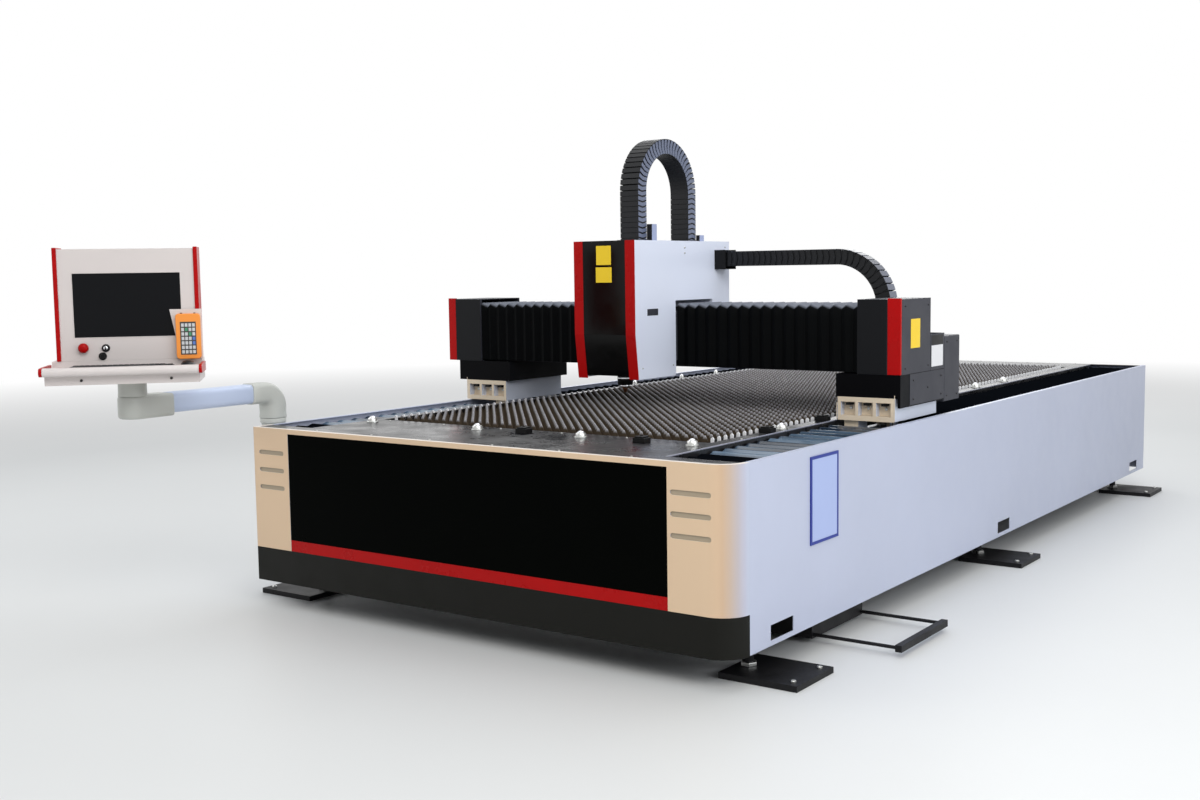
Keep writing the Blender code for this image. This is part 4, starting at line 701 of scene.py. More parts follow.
def ball_units():
    """Ball transfer units: a flanged cup with two screws and the ball that stands out of it."""
    units = Shape()
    foot = deck_top + 0.0003
    for x, y, share in balls:
        units.paint = 0
        r = 0.026 * share
        flange = [(r, 0), (r, 0.004), (r * 0.94, 0.006), (r * 0.8, 0.006)]
        cup = [(0.82, 0.005), (0.8, 0.014), (0.72, 0.0185), (0.62, 0.019), (0.6, 0.014)]
        units.lathe(flange, (x, y, foot), "z", 28)
        units.lathe([(r * wide, z) for wide, z in cup], (x, y, foot), "z", 28)
        for a in (math.radians(45), math.radians(225)):
            centre = x + r * 0.9 * math.cos(a), y + r * 0.9 * math.sin(a), foot + 0.004
            units.screw(centre, "z", 0.0022)
        units.paint = 1
        ball = 0.017 * share
        turns = [math.radians(a) for a in range(60, 181, 10)]
        profile = [(max(1e-5, ball * math.sin(a)), -ball * math.cos(a)) for a in turns]
        units.lathe(profile, (x, y, foot + 0.0282 - ball), "z", 24)
    units.piece("ball_units", "bed", [zinc, steel], "bright_steel")


def stop_blocks():
    """Blocks that a sheet is pushed against, each with a narrower top and a screw."""
    boxes = []
    for x, y in stop_places:
        boxes.append(((x - 0.0275, y - 0.0225, 0.7828), (x + 0.0275, y + 0.0225, 0.802)))
        boxes.append(((x - 0.019, y - 0.0225, 0.8018), (x + 0.019, y + 0.0225, 0.808)))
    plates("stop_blocks", "bed", deep_black, "gloss_black", boxes, 0.002)
    heads = [((x, y, 0.808), "z", 0.006) for x, y in stop_places]
    screw_heads("stop_block_screws", "bed", dark_steel, "black_steel", heads)


def table_ring():
    """A welded frame with two bearers under the slats."""
    ring = Shape()
    left, right, front, rear, bar = table_left, table_right, table_front, table_rear, table_bar
    ring.box((left, front, table_low), (left + bar, rear, table_top))
    ring.box((right - bar, front, table_low), (right, rear, table_top))
    ring.box((left + bar, front, table_low), (right - bar, front + bar, table_top))
    ring.box((left + bar, rear - bar, table_low), (right - bar, rear, table_top))
    for share in (0.34, 0.67):
        x = left + share * (right - left)
        ring.box((x - 0.003, front + bar, table_low + 0.003), (x + 0.003, rear - bar, 0.735))
    ring.piece("table_ring", "bed", frame_black, "slat_steel", "slat_table", bevel=0.002)


def table_combs():
    """Strips along the ring whose teeth stand between the slats."""
    boxes = []
    front = table_front + table_bar
    half = (slat_pitch - 0.006) / 2
    for edge, side in ((table_right - table_bar, 1), (table_left + table_bar, -1)):
        inner, outer = sorted((edge, edge + side * 0.004))
        boxes.append(((inner, front, table_top), (outer, table_rear - table_bar, 0.7765)))
        for i in range(1, slat_count):
            y = front + i * slat_pitch
            boxes.append(((inner, y - half, 0.7763), (outer, y + half, 0.786)))
    plates("table_combs", "bed", dark_steel, "slat_steel", boxes, 0.0008)


def table_slats():
    """Saw-toothed slats on edge, each a little askew."""
    slats = Shape()
    teeth, foot, shoulder, valley, tip = 40, 0.701, 0.7745, 0.7685, 0.8008
    start, stop = table_left + 0.012, table_right - 0.012
    step = (stop - start) / teeth
    for i in range(slat_count):
        y = table_front + table_bar + (i + 0.5) * slat_pitch
        lean = chance.uniform(-0.0012, 0.0012)
        drop = chance.uniform(0, 0.0012)
        outline = [(stop, foot), (stop, shoulder)]
        for k in reversed(range(teeth + 1)):
            for share, z in ((0.46, valley), (0.07, tip), (-0.07, tip), (-0.46, valley)):
                x = start + k * step + step * share
                if start + 0.016 < x < stop - 0.016:
                    outline.append((x, z - drop))
        outline += [(start, shoulder), (start, foot)]
        tilt = Matrix.Rotation(lean * 8, 4, "X") @ Matrix.Translation((0, 0, -foot))
        slats.at = Matrix.Translation((0, y, foot)) @ tilt
        slats.prism(outline, -0.0013, 0.0013, "y")
    slats.piece("table_slats", "bed", slat_steel, "slat_steel")


def slat_tabs():
    """Bare round ends of the slats beside the combs."""
    tabs = Shape()
    for i in range(slat_count):
        y = table_front + table_bar + (i + 0.5) * slat_pitch
        for x in (table_right - 0.019, table_left + 0.019):
            tab = [(x - 0.007, table_top), *arc(x, 0.789, 0.007, 180, 0, 6), (x + 0.007, table_top)]
            tabs.prism(tab, y - 0.0045, y + 0.0015, "y")
    tabs.piece("slat_tabs", "bed", bare_tab, "slat_steel", bevel=0.0006)


# Way covers

fold_shape = ((0, 0.7535), (0.06, 0.7545), (0.42, 0.7655), (0.5, 0.7668), (0.58, 0.7655), (0.94, 0.7545))
fold_length = 0.085


def folds(cover, first, last, start, step, sides, paint=0):
    """Folds of a way cover from one number to another: each rises to a ridge and falls."""
    top = [(start + (i + share) * step, z) for i in range(first, last) for share, z in fold_shape]
    top.append((start + last * step, fold_shape[0][1]))
    under = [(y, z - 0.0018) for y, z in reversed(top)]
    cover.paint = paint
    cover.prism(top + under, *sides, "x")


def fold_steps(start, stop):
    count = round((stop - start) / fold_length)
    return count, (stop - start) / count


def front_way_cover(side, sides):
    name = side + "_way_cover_front"
    start, stop = -2.525, -1.2183
    count, step = fold_steps(start, stop)
    cover = Shape()
    folds(cover, 0, 3, start, step, sides)
    # The folds behind the first three carry the painted reflections.
    folds(cover, 3, count, start, step, sides, 1)
    cover = cover.piece(name + "_folds", None, [way_black, way_cloth_reflected], "rubber_black", name)
    follow(cover)


def rear_way_cover(side, sides):
    """It is closed up to a fifteenth of its length, and it is made in sections of folds."""
    name = side + "_way_cover_rear"
    start, stop = -0.7597, 2.56
    count, step = fold_steps(start, stop)
    borders = (0, 3, 14, 25, 36, count)
    for first, last in zip(borders, borders[1:]):
        cover = Shape()
        folds(cover, first, last, start, step, sides)
        cover = cover.piece(f"{name}_folds_{first}", None, way_black, "rubber_black", name)
        follow(cover)


def dress_ways():
    for side, sides in {"right": (0.881, 1.173), "left": (-1.173, -0.939)}.items():
        front_way_cover(side, sides)
        rear_way_cover(side, sides)


# Gantry

gantry_front = -1.2182
end_face = 1.18
left_end_face = -1.246


def dress_gantry():
    repaint(saddle_paint, 0.002, "right_saddle", "left_saddle")
    repaint(base_black, 0.003, "right_gantry_base", "left_gantry_base")
    repaint(grey_paint, 0.002, "right_end_cover", "left_end_cover")
    repaint(red_paint, 0.0012, "right_end_trim", "left_end_trim")
    repaint(grey_paint, 0, "gantry_beam")
    repaint(grey_paint, 0.001, "rear_drive_box")
    repaint(grey_paint, 0.0008, "chain_tray")
    repaint(steel, 0, "right_pinion", "left_pinion")


def gantry_plates():
    """Front skins of the end covers, side plates of the bases, and bare label fields."""
    fronts = [
        ((low, -1.2192, 0.9856), (high, -1.2178, 1.2995))
        for low, high in ((0.9855, 1.1197), (-1.2657, -1.1005))
    ]
    plates("end_cover_fronts", "gantry", charcoal, "charcoal", fronts, 0.0006)
    skins = [
        ((end_face - 0.0002, -1.12, 0.852), (end_face + 0.0012, -0.744, 0.983)),
        ((left_end_face - 0.0012, -1.12, 0.892), (left_end_face + 0.0002, -0.744, 0.983)),
    ]
    plates("base_side_plates", "gantry", grey_paint, "grey", skins, 0.0005)
    under = end_face - 0.0001
    for name, paint, slot, ends, heights, outer in (
        ("bare_label_field_side", yellow_field, "off_white", (-1.113, -1.015), (1.092, 1.215), 0.0007),
        ("tray_dark_end", deep_black, "gloss_black", (-0.887, -0.758), (1.0945, 1.1355), 0.0005),
        ("bare_label_field_rear", pale_field, "off_white", (-0.887, -0.758), (1.0, 1.092), 0.0007),
    ):
        field = (under, ends[0], heights[0]), (end_face + outer, ends[1], heights[1])
        plates(name, "gantry", paint, slot, [field], 0.0002)


def gantry_screws():
    heads = [
        ((end_face + 0.0011, y, z), "x", 0.004)
        for y, z in ((-1.085, 0.955), (-1.085, 0.875), (-0.78, 0.955), (-0.78, 0.875), (-0.93, 0.915))
    ]
    for columns, rows in (((-1.17, -0.925), (1.27, 1.01)), ((-0.71, -0.59), (1.1, 0.86))):
        heads += [((end_face - 0.0001, y, z), "x", 0.0035) for z in rows for y in columns]
    screw_heads("cover_screws", "gantry", dark_steel, "black_steel", heads)
    details = Shape()
    for base in (0.896, -1.196):
        for i in range(3):
            x = base + 0.0475 + i * 0.0805
            details.paint = 0
            details.box((x - 0.012, -1.2145, 0.852), (x + 0.012, -1.1825, 0.862))
            details.paint = 1
            details.screw((x, -1.1832, 0.838), "y", 0.007)
    details.piece("saddle_pocket_screws", "gantry", [deep_black, zinc], "black_steel")
    guards = [
        ((x, gantry_front, 0.789), (x + 0.004, -1.13, top))
        for x, top in ((1.1525, 0.9), (0.8895, 0.86), (-1.2005, 0.9))
    ]
    plates("saddle_guards", "gantry", saddle_paint, "off_white", guards, 0.0008)


def bellows_ring(x, out):
    """A rib of the beam's bellows: front and top, with rounded corner and free hems."""
    front = -1.21 + out
    top = 1.281 - out
    sag = 0.0015 * out / 0.014
    bend = 0.018
    outer = [(front, 0.992), (front, 1.05), (front, 1.14), (front, 1.22)]
    outer += [
        (front + bend - bend * math.cos(a), top - bend + bend * math.sin(a))
        for a in (0, 0.5, 1.05, math.pi / 2)
    ]
    outer += [(-1.1, top - sag), (-1.0, top - sag), (-0.915, top)]
    thickness = 0.0016
    inner = []
    for i, (y, z) in enumerate(outer):
        if i < 4:
            inner.append((y + thickness, z))
        elif i < 8:
            inner.append((y + thickness * 0.7, z - thickness * 0.7))
        else:
            inner.append((y, z - thickness))
    return [(x, y, z) for y, z in outer + inner[::-1]]


def dress_bellows():
    pleat = ((0, 0.0), (0.06, 0.0012), (0.44, 0.0128), (0.5, 0.014), (0.56, 0.0128), (0.94, 0.0012))
    for name, still, moving in (
        ("right_bellows", 0.9847, 0.0853), ("left_bellows", -1.0997, -0.2453)
    ):
        start, stop = sorted((still, moving))
        count = round((stop - start) / 0.058)
        rings = [
            bellows_ring(start + (stop - start) * (i + share) / count, out)
            for i in range(count)
            for share, out in pleat
        ]
        rings.append(bellows_ring(stop, 0))
        skin = Shape().loft(rings)
        skin = skin.piece(name + "_pleats", None, bellows_cloth, "rubber_black", name, sharp=28)
        follow(skin)


# Cable chains

def links(path, total, pitch, width, height, depth_axis):
    """A cable chain: slanted side plates over inner ones, and the lids across them. Side plates and lids
    have their own paint slots, so that they can take a painted lit tone that leaves the inner plates
    darker.
    """
    shape = Shape()
    count = round(total / pitch)
    step = total / count
    half = step / 2
    edge = width / 2
    top = height / 2
    z = top - 0.0025
    plate = [
        (-half * 0.95, -z), (half * 0.4, -z), (half * 0.92, 0), (half * 0.4, z), (-half * 0.95, z),
        (-half * 0.45, 0),
    ]
    for i in range(count):
        place, out = path((i + 0.5) * step)
        ahead, _ = path((i + 0.52) * step)
        along = (ahead - place).normalized()
        shape.at = Matrix.Translation(place) @ Matrix((along, depth_axis, out)).transposed().to_4x4()
        for side in (-1, 1):
            shape.paint = 1
            y0, y1 = sorted((side * edge, side * (edge - 0.0035)))
            shape.prism(plate, y0, y1, "y")
            shape.paint = 0
            y0, y1 = sorted((side * (edge - 0.0035), side * (edge - 0.007)))
            shape.box((-half * 1.02, y0, -z * 0.94), (half * 1.02, y1, z * 0.94))
        for low, paint in ((top - 0.004, 2), (-top, 0)):
            shape.paint = paint
            shape.box((-half * 0.93, -edge + 0.001, low), (half * 0.93, edge - 0.001, low + 0.004))
    shape.at = Matrix.Identity(4)
    return shape


def bent_path(start, bend, centre, radius, arch):
    """Straight, round a half circle, and straight back, as point and outward direction."""
    straight = bend - start

    def along(s):
        if s < straight:
            u, v, a, b = start + s, centre + radius, 0, 1
        elif s < straight + math.pi * radius:
            t = (s - straight) / radius
            a, b = math.sin(t), math.cos(t)
            u, v = bend + radius * a, centre + radius * b
        else:
            u, v, a, b = bend - (s - straight - math.pi * radius), centre - radius, 0, -1
        if arch:
            return Vector((-0.09, v, u)), Vector((0, b, a))
        return Vector((u, -0.8275, v)), Vector((a, 0, b))

    return along


head_side = 0.0853


def beam_chain():
    height, top, foot, reach, tail = 0.07, 1.518, 0.9886, 0.982, 0.1
    radius = (top - foot - height) / 2
    bend = reach - height / 2 - radius
    path = bent_path(head_side, bend, (top + foot) / 2, radius, False)
    total = (bend - head_side) + math.pi * radius + (bend - tail)
    chain = links(path, total, 0.03, 0.078, height, Vector((0, 1, 0)))
    chain = chain.piece(
        "beam_chain_links", None, [nylon, nylon, nylon_lit_lids], "rubber_black", "beam_chain"
    )
    follow(chain)


def head_chain():
    height, foot, bend = 0.07, 1.51, 1.794
    radius = 0.2485 - height / 2
    path = bent_path(foot, bend, -1.09, radius, True)
    total = 2 * (bend - foot) + math.pi * radius
    chain = links(path, total, 0.024, 0.1, height, Vector((1, 0, 0)))
    chain = chain.piece(
        "head_chain_links", None, [nylon, nylon_lit_plates, nylon], "rubber_black", "head_chain"
    )
    follow(chain)


# Head

def dress_head():
    repaint(head_white, 0.0025, "head_cover", segments=3)
    repaint(red_paint, 0.001, "head_strip_left", "head_strip_right")
    repaint(head_black, 0.0008, "head_front_panel")
    repaint(grey_paint, 0, "carriage_plate")
    repaint(charcoal, 0.003, "cutting_head")
    front = (-1.5592, -1.5582)
    fields = [
        ((low, front[0], bottom), (high, front[1], top))
        for low, high, bottom, top in ((-0.12, -0.04, 1.46, 1.545), (-0.123, -0.037, 1.382, 1.45))
    ]
    plates("bare_label_fields_front", "carriage", yellow_field, "off_white", fields, 0.0003)
    handle = Shape()
    handle.box((0.0822, -1.46, 1.232), (0.0835, -1.37, 1.262))
    handle.paint = 1
    handle.box((0.0834, -1.458, 1.234), (0.0842, -1.372, 1.26))
    handle.piece(
        "head_side_handle", "carriage", [deep_black, charcoal], "rubber_black", bevel=0.0003
    )
    x = head_side - 0.0002
    heads = [((x, -1.145, z), "x", 0.0045) for z in (1.536, 1.511)]
    for y, z in ((-1.5, 1.0), (-1.25, 1.0), (-0.78, 1.23), (-0.78, 1.54)):
        heads.append(((x, y, z), "x", 0.0035))
    screw_heads("head_screws", "carriage", zinc, "bright_steel", heads)


def chain_fittings():
    """The box that the beam's chain starts from, and the collars and angles of the arched one."""
    x0, x1, y0, y1, z0, z1, sheet = 0.0852, 0.145, -0.878, -0.777, 1.434, 1.526, 0.003
    box = [
        ((x0, y0, z0), (x0 + 0.004, y1, z1)),
        ((x0, y0, z0), (x1, y0 + sheet, z1)),
        ((x0, y1 - sheet, z0), (x1, y1, z1)),
        ((x0, y0, z0), (x1, y1, z0 + sheet)),
    ]
    plates("chain_bracket", "carriage", deep_black, "black_steel", box, 0.0008)

    x0, x1, hole, rim, low, top = -0.152, -0.028, 0.038, 0.009, 1.567, 1.574
    bars = []
    for y in (-1.3035, -0.8765):
        bars.append(((x0, y - hole - rim, low), (x1, y - hole, top)))
        bars.append(((x0, y + hole, low), (x1, y + hole + rim, top)))
        bars.append(((x0, y - hole, low), (x0 + rim, y + hole, top)))
        bars.append(((x1 - rim, y - hole, low), (x1, y + hole, top)))
    plates("chain_grommets", "carriage", deep_black, "rubber_black", bars, 0.001)

    x, low, sheet = -0.0395, 1.5665, 0.003
    angles = []
    for y, width, top in ((-1.27, 0.028, 1.645), (-0.8415, 0.02, 1.6)):
        angles.append(((x, y, low), (x + width, y + sheet, top)))
        angles.append(((x - sheet + width, y + sheet, low), (x + width, y + 0.041, top)))
    plates("chain_mounts", "carriage", mount_paint, "black_steel", angles, 0.0006)


def cutting_tool():
    """Collar, focus ring and the ribbed nozzle with its tip."""
    x, y = -0.08, -1.4
    collar = [(0.034, 0.965), (0.0355, 0.96), (0.0355, 0.921), (0.033, 0.917), (0.024, 0.9155)]
    ring = [(0.0225, 0.9155), (0.0235, 0.913), (0.0235, 0.905), (0.0215, 0.902), (0.014, 0.902)]
    tool = Shape().lathe(collar, (x, y, 0), "z", 40)
    tool.paint = 1
    tool.lathe([(0.0365, 0.949), (0.0365, 0.944)], (x, y, 0), "z", 40)
    tool.lathe(ring, (x, y, 0), "z", 40)
    tool.piece("cutting_collar", "cutting_slide", [deep_black, steel], "bright_steel")
    radius = 0.0135
    cone = [(radius, 0.914), (radius, 0.899), (0.0125, 0.897), (0.005, 0.8786), (0.0022, 0.8784)]
    tip = Shape().lathe(cone, (x, y, 0), "z", 32)
    for i in range(12):
        a = math.tau * i / 12
        place = Vector((x + radius * math.cos(a), y + radius * math.sin(a), 0.9))
        tip.at = Matrix.Translation(place) @ Matrix.Rotation(a, 4, "Z")
        tip.box((-0.0004, -0.0012, -0.002), (0.0006, 0.0012, 0.003))
    tip.piece("nozzle_tip", "cutting_slide", copper, "copper", "nozzle", sharp=40)


# Arm

post_y = -2.42
tube_z = 0.915


def superellipse(width, height, power, count=28):
    def bent(value):
        return math.copysign(abs(value) ** (2 / power), value)

    turns = [math.tau * i / count for i in range(count)]
    return [(bent(math.cos(a)) * width, bent(math.sin(a)) * height) for a in turns]


def arm_post():
    profile = [
        (0.048, 0.42), (0.052, 0.424), (0.052, 0.775), (0.058, 0.779), (0.058, 0.7965), (0.056, 0.7995)
    ]
    post = Shape().lathe(profile, (arm_x, post_y, 0), "z", 40)
    plate = -1.2128
    for z in (0.48, 0.68):
        post.box((arm_x, post_y - 0.03, z - 0.03), (plate + 0.0001, post_y + 0.03, z + 0.03))
    post.box((plate, post_y - 0.052, 0.42), (-1.2013, post_y + 0.052, 0.74))
    post.piece("arm_post_body", "bed", cast_paint, "cast_grey", "arm_post", bevel=0.003)
    screws = Shape()
    for z in (0.445, 0.515, 0.645, 0.715):
        for y in (post_y - 0.04, post_y + 0.04):
            screws.lathe([(0.007, 0), (0.007, -0.005), (0.0055, -0.006)], (plate, y, z), "x", 6)
    screws.piece("arm_post_screws", "bed", zinc, "bright_steel")


def arm_elbow():
    """Square where it holds the tube, it turns down and becomes round over the post."""
    rings = []
    for y, w, h in ((-2.5597, 0.043, 0.0445), (-2.557, 0.046, 0.047), (-2.515, 0.046, 0.047)):
        rings.append([(arm_x + u, y, tube_z + v) for u, v in superellipse(w, h, 4)])
    radius, steps = 0.064, 10
    for i in range(1, steps + 1):
        t = i / steps
        a = math.radians(90 * t)
        ring = superellipse(0.046 + 0.01 * t, 0.047 + 0.009 * t, 4 - 1.6 * t)
        y, z = post_y - radius, tube_z - radius
        rings.append(
            [
                (arm_x + u, y + (radius + v) * math.sin(a), z + (radius + v) * math.cos(a))
                for u, v in ring
            ]
        )
    for z, r in ((0.82, 0.056), (0.806, 0.058), (0.8004, 0.0575)):
        rings.append([(arm_x + u, post_y + v, z) for u, v in superellipse(r, r, 2.3)])
    elbow = Shape().loft(rings)
    elbow.piece("arm_elbow_body", "arm", cast_paint, "cast_grey", "arm_elbow", sharp=50)


def arm_tube():
    ends = ((-2.9847, 0.041), (-2.983, 0.042), (-2.562, 0.042), (-2.5603, 0.041))
    rings = [
        [(arm_x + u, y, tube_z + v) for u, v in superellipse(w, w + 0.001, 4.2, 40)] for y, w in ends
    ]
    Shape().loft(rings).piece("arm_tube_body", "arm", arm_paint, "white", "arm_tube", sharp=50)


def arm_knuckle():
    """A boxed casting with a round end, and the short column that the console turns on."""
    knuckle = Shape()
    knuckle.lathe([(0.058, 0.955), (0.0565, 0.972), (0.056, 1.0245)], (arm_x, column_y, 0), "z", 44)
    levels = (
        (0.863, 0.012), (0.8655, 0.005), (0.871, 0.001), (0.879, 0), (0.944, 0), (0.951, 0.002),
        (0.957, 0.008),
    )
    rings = []
    for z, inset in levels:
        half, end = 0.0605 - inset, -2.9855 - inset * 0.4
        outline = [(arm_x + u, column_y + v) for u, v in arc(0, 0, half, 180, 360, 20)]
        outline += [(arm_x + half * 0.84, end), (arm_x - half * 0.84, end)]
        rings.append([(u, v, z) for u, v in outline])
    knuckle.loft(rings)
    knuckle.piece("arm_knuckle_body", "arm", cast_paint, "cast_grey", "arm_knuckle", sharp=50)


# Console

shelf_top = 1.0772
console_front = -0.1


def dress_console():
    repaint(console_white, 0.0035, "console_box", segments=3)
    repaint(red_paint, 0.001, "console_left_strip", "console_right_strip")
    repaint(screen_glass, 0.0004, "console_screen")
    back = Shape(console)
    for i in range(9):
        z = 1.2 + i * 0.03
        back.box((-0.12, 0.0297, z), (0.135, 0.0308, z + 0.008))
    back.paint = 1
    for x in (-0.23, 0.245):
        for z in (1.13, 1.33, 1.525):
            back.screw((x, 0.0302, z), "-y", 0.004)
    back.piece("console_rear_vents", "console", [deep_black, zinc], "charcoal")


def screen_bezel():
    left, right, low, high, bar = -0.2, 0.215, 1.196, 1.456, 0.004
    bezel = Shape(console)
    for x0, x1, z0, z1 in (
        (left, right, low, low + bar), (left, right, high - bar, high),
        (left, left + bar, low + bar, high - bar), (right - bar, right, low + bar, high - bar),
    ):
        bezel.box((x0, -0.1012, z0), (x1, -0.0985, z1))
    bezel.piece("screen_bezel", "console", console_white, "off_white", bevel=0.0008)


def console_shelf():
    """The keyboard's shelf with its round nose, and red caps on both ends."""
    nose_y, nose_z, back, rear = -0.3135, 1.0785, -0.1003, 0.01
    outline = [
        *arc(nose_y, nose_z, 0.0165, 270, 90, 14), *arc(-0.2985, 1.0885, 0.0065, 90, 0, 6),
        (-0.2915, shelf_top), (back, shelf_top), (back, 1.1077), (rear, 1.1077), (rear, 1.025),
        (-0.275, 1.025), (-0.275, 1.062),
    ]
    half, cap = 0.2858, 0.2979
    shelf = Shape(console).prism(outline, -half, half, "x")
    shelf.piece(
        "console_shelf", "console", console_white, "off_white", "keyboard_shelf", bevel=0.0012, sharp=30
    )
    side = arc(nose_y, nose_z, 0.0168, 250, 100, 8)
    side += [(-0.27, 1.0965), (-0.106, 1.0965), (-0.106, 1.061), (-0.27, 1.061)]
    cheeks = Shape(console)
    cheeks.prism(side, -cap, -half - 0.0003, "x")
    cheeks.prism(side, half + 0.0003, cap, "x")
    cheeks.piece("shelf_end_caps", "console", red_paint, "red", bevel=0.0012)
    screws = Shape(console)
    for x in (-0.152, 0.179):
        screws.lathe([(0.0055, 0), (0.0055, -0.003), (0.004, -0.0035)], (x, -0.275, 1.043), "-y", 14)
    for x in (-0.25, 0.25):
        for y in (-0.24, -0.03):
            screws.lathe([(0.0045, 1.0235), (0.005, 1.0255)], (x, y, 0), "z", 12)
    screws.piece("shelf_screws", "console", dark_steel, "black_steel")


def dress_keyboard():
    base = console @ Matrix.Translation((-0.013, -0.25, shelf_top + 0.0002))
    half, depth = 0.193, 0.13
    board = Shape(base)
    board.box((-half, 0, 0), (half, depth, 0.008))
    board.box((-half + 0.002, 0.002, 0.0079), (half - 0.002, depth - 0.002, 0.0102))
    board.piece("keyboard_base", "console", charcoal, "charcoal", "keyboard", bevel=0.0015)
    keys = Shape(base)
    rows = (
        [1.3, 1.3, 1.3, 6, 1.3, 1.3, 1.3, 1.2, 1, 1, 1],
        [2.3] + [1] * 10 + [2.7, 0, 1, 0],
        [1.8] + [1] * 11 + [2.2] + [0] * 3,
        [1.5] + [1] * 12 + [1.5] + [1] * 3,
        [1] * 13 + [2] + [1] * 3,
        [1] * 13 + [0.5] + [1] * 3,
    )
    pitch = depth / 6.35
    unit = 0.378 / 18
    for r, row in enumerate(rows):
        x = -0.189
        y = 0.004 + r * pitch
        for width in row:
            span = (width or 1) * unit
            if width:
                high = (x + span - 0.0012, y + pitch - 0.0022, 0.0145 + 0.0005 * (r == 5))
                keys.box((x + 0.0012, y + 0.001, 0.01), high)
            x += span
    keys.piece("keyboard_keys", "console", key_dark, "charcoal", bevel=0.0012)


def dress_mouse():
    mouse = Shape(console)
    x, foot, steps = 0.235, shelf_top + 0.0003, 12
    rings = []
    for i in range(steps + 1):
        t = i / steps
        y = -0.219 + 0.098 * t
        swell = 0.029 * math.sin(math.pi * (t * 0.92 + 0.04)) ** 0.55
        tall = swell * (1 - 0.25 * t)
        turns = [math.pi * k / 15 for k in range(16)]
        ring = [(x + swell * math.cos(a), y, foot + 0.003 + tall * math.sin(a) ** 0.8) for a in turns]
        rings.append(ring + [(x - swell * 0.95, y, foot), (x + swell * 0.95, y, foot)])
    mouse.loft(rings)
    mouse.piece("mouse_body", "console", nylon, "rubber_black", "mouse", sharp=60)


selector = (-0.081, console_front, 1.157)
starter = (-0.094, console_front, 1.125)


def stop_button():
    place = (-0.164, console_front, 1.159)
    head = [
        (0.0125, 0.006), (0.0195, 0.0085), (0.02, 0.013), (0.0192, 0.019), (0.0165, 0.0245),
        (0.011, 0.0275), (0.002, 0.0283),
    ]
    stop = Shape(console)
    stop.paint = 1
    stop.lathe([(0.0115, -0.008), (0.0115, 0.006)], place, "y", 28)
    stop.paint = 0
    stop.lathe(head, place, "y", 36)
    stop.piece("stop_mushroom", "stop", [red_paint, deep_black], "red", "stop_button", sharp=50)
    collar = Shape(console)
    for place in (selector, starter):
        collar.lathe([(0.0158, 0.0001), (0.0158, 0.0004), (0.0154, 0.0005)], place, "y", 28)
    collar.piece("control_collars", "console", deep_black, "rubber_black")


def turning_controls():
    """The selector with its bar, and the start knob with its pointer."""
    switch = Shape(console)
    x, _, z = selector
    ring = [(0.014, 0.0006), (0.014, 0.008), (0.0125, 0.0095), (0.0085, 0.0095)]
    switch.lathe(ring, selector, "y", 32)
    switch.paint = 1
    switch.lathe([(0.0085, 0.0085), (0.0085, 0.012), (0.0078, 0.0125)], selector, "y", 28)
    switch.paint = 0
    switch.box((x - 0.0022, -0.1158, z - 0.0075), (x + 0.0022, -0.112, z + 0.0075))
    switch.piece(
        "selector_cap", "selector", [deep_black, steel], "bright_steel", "selector_switch", sharp=40
    )
    start = Shape(console)
    x, _, z = starter
    knob = [
        (0.014, 0.0006), (0.014, 0.0075), (0.0128, 0.009), (0.009, 0.0095), (0.009, 0.0135),
        (0.0075, 0.0155),
    ]
    start.lathe(knob, starter, "y", 32)
    start.box((x - 0.0015, -0.1162, z - 0.004), (x + 0.0015, -0.1148, z + 0.008))
    start.piece("start_cap", "start", deep_black, "rubber_black", "start_button", sharp=40)


def dress_remote():
    outline = [
        (0.19, 1.108), (0.2895, 1.108), (0.2895, 1.306), (0.166, 1.306), (0.188, 1.194), (0.19, 1.15)
    ]
    plate = Shape(console).prism(outline, -0.1103, -0.1063, "y")
    plate.piece("remote_holder", "console", console_white, "white", "remote_plate", bevel=0.001)
    outline = [
        *arc(0.273, 1.276, 0.012, 0, 90, 5), *arc(0.202, 1.276, 0.012, 90, 180, 5),
        *arc(0.204, 1.122, 0.014, 180, 270, 5), *arc(0.271, 1.122, 0.014, 270, 360, 5),
    ]
    body = Shape(console).prism(outline, -0.1382, -0.1106, "y")
    body.piece(
        "remote_body", "console", orange_plastic, "orange", "remote_control", bevel=0.003, segments=3
    )
    pad = Shape(console).box((0.207, -0.1393, 1.125), (0.268, -0.138, 1.256))
    pad.piece("remote_key_pad", "console", bezel_grey, "charcoal", bevel=0.0004)
    keys = Shape(console)
    coloured = {(2, 3): 1, (3, 3): 1, (4, 2): 2, (5, 1): 2}
    for row in range(7):
        for column in range(4):
            x = 0.2115 + column * 0.01405
            z = 1.1295 + row * 0.0178
            keys.paint = coloured.get((row, column), 0)
            keys.box((x, -0.1409, z), (x + 0.0105, -0.1392, z + 0.0132))
    keys.piece("remote_keys", "console", [key_grey, key_blue, key_green], "off_white", bevel=0.0008)
    lugs = Shape(console)
    for x in (0.212, 0.263):
        lugs.lathe([(0.0045, 1.286), (0.0045, 1.2905), (0.0035, 1.2915)], (x, -0.1245, 0), "z", 16)
    lugs.piece("remote_top_lugs", "console", bezel_grey, "charcoal")


# Light, floor and camera

def area(name, place, target, size, power, colour):
    lamp = bpy.data.lights.new(name, "AREA")
    lamp.shape = "RECTANGLE"
    lamp.size, lamp.size_y = size
    lamp.energy = power
    lamp.color = colour
    thing = add(name, lamp)
    thing.location = place
    aim = Vector(target) - Vector(place)
    thing.rotation_euler = aim.to_track_quat("-Z", "Y").to_euler()


def set_floor():
    mesh = bpy.data.meshes.new("studio_floor")
    far = 60
    corners = [(-far, -far, 0), (far, -far, 0), (far, far, 0), (-far, far, 0)]
    mesh.from_pydata(corners, [], [(0, 1, 2, 3)])
    mesh.materials.append(floor_material())
    add("studio_floor", mesh)


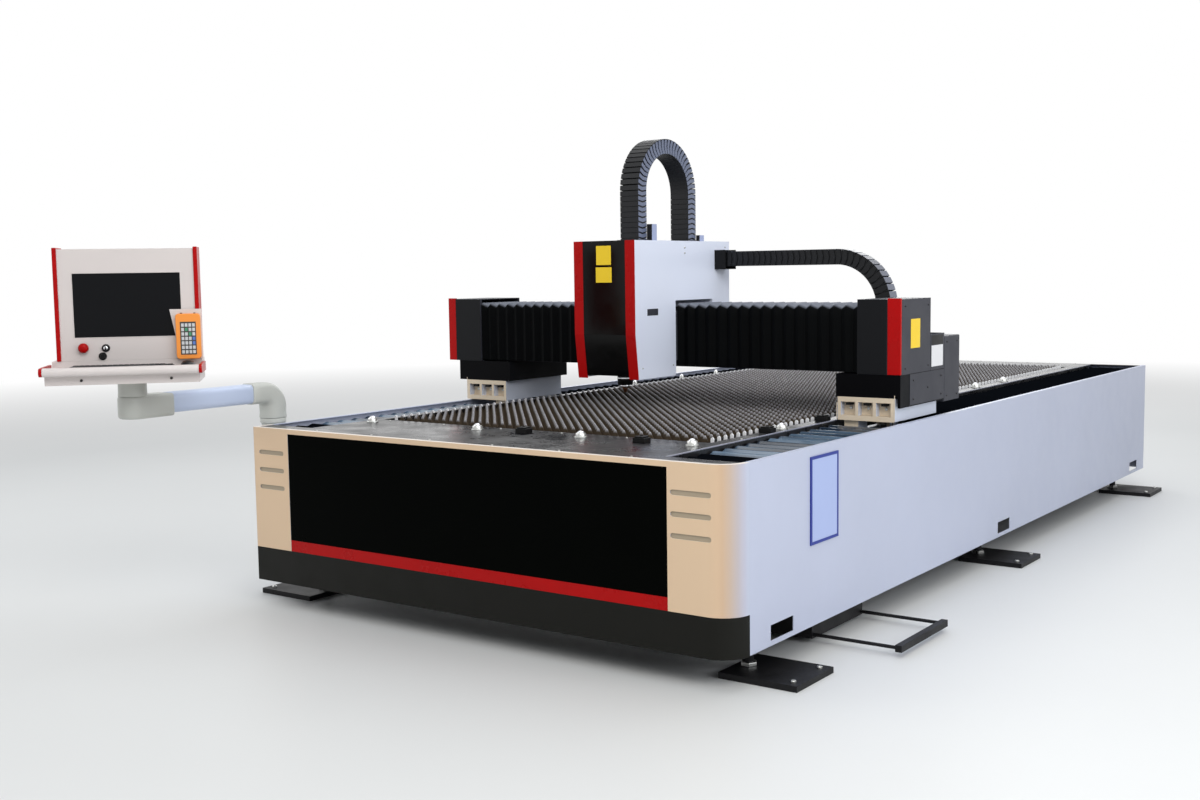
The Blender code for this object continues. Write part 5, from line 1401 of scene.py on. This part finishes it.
def set_lamps():
    area("key", (4.5, -5.5, 5.2), (0, 0, 0.4), (5, 3.5), 250, (1, 0.985, 0.96))
    area("fill", (-6.5, -4.5, 4.2), (0, -0.5, 0.6), (5, 4), 130, (0.97, 0.985, 1))
    area("side", (7.0, -1.9, 3.0), (0.6, -1.3, 0.8), (4.5, 3), 150, (0.93, 0.96, 1))
    area("top", (0, 1.2, 6.4), (0, 0.6, 0), (6, 9), 230, (0.96, 0.98, 1))
    area("rear", (-3.5, 7.5, 4), (0, 1, 0.6), (6, 3), 140, (0.98, 0.99, 1))


def set_world():
    """A soft room that is seen as plain white."""
    world = bpy.context.scene.world or bpy.data.worlds.new("studio")
    bpy.context.scene.world = world
    world.use_nodes = True
    tree = world.node_tree
    tree.nodes.clear()
    out = tree.nodes.new("ShaderNodeOutputWorld")
    lights = []
    for colour, strength in (((0.93, 0.96, 1, 1), 0.42), ((1, 1, 1, 1), 1)):
        light = tree.nodes.new("ShaderNodeBackground")
        light.inputs["Color"].default_value = colour
        light.inputs["Strength"].default_value = strength
        lights.append(light.outputs[0])
    tree.links.new(mixed_shader(tree, seen_directly(tree), *lights), out.inputs["Surface"])
    bpy.context.scene.view_settings.view_transform = "Standard"


def set_camera():
    """Fitted to the photograph's straight edges, for a picture 1200 pixels wide."""
    yaw, pitch, roll = (math.radians(v) for v in (35.77, 5.40, -0.81))
    flat = Vector((-math.sin(yaw), math.cos(yaw), 0))
    ahead = flat * math.cos(pitch) - Vector((0, 0, math.sin(pitch)))
    right = Vector((math.cos(yaw), math.sin(yaw), 0))
    up = right.cross(ahead)
    turned = math.cos(roll) * right + math.sin(roll) * up
    top = -math.sin(roll) * right + math.cos(roll) * up
    camera = bpy.data.cameras.new("camera")
    camera.sensor_width = 36
    camera.lens = 1360.05 / 1200 * camera.sensor_width
    camera.clip_end = 200
    thing = add("camera", camera)
    basis = Matrix((turned, top, -ahead)).transposed().to_4x4()
    thing.matrix_world = shift @ Matrix.Translation((3.452, -6.503, 1.432)) @ basis
    bpy.context.scene.camera = thing


front_cover()
vent_louvres()
plinth()
dress_sides()
foot_nuts()
floor_plate_screws()
deck_sheet()
deck_edge_lips()
deck_screws()
ball_units()
stop_blocks()
table_ring()
table_combs()
table_slats()
slat_tabs()
dress_ways()
dress_gantry()
gantry_plates()
gantry_screws()
dress_bellows()
beam_chain()
head_chain()
dress_head()
chain_fittings()
cutting_tool()
arm_post()
arm_elbow()
arm_tube()
arm_knuckle()
dress_console()
screen_bezel()
console_shelf()
dress_keyboard()
dress_mouse()
stop_button()
turning_controls()
dress_remote()
set_floor()
set_lamps()
set_world()
set_camera()
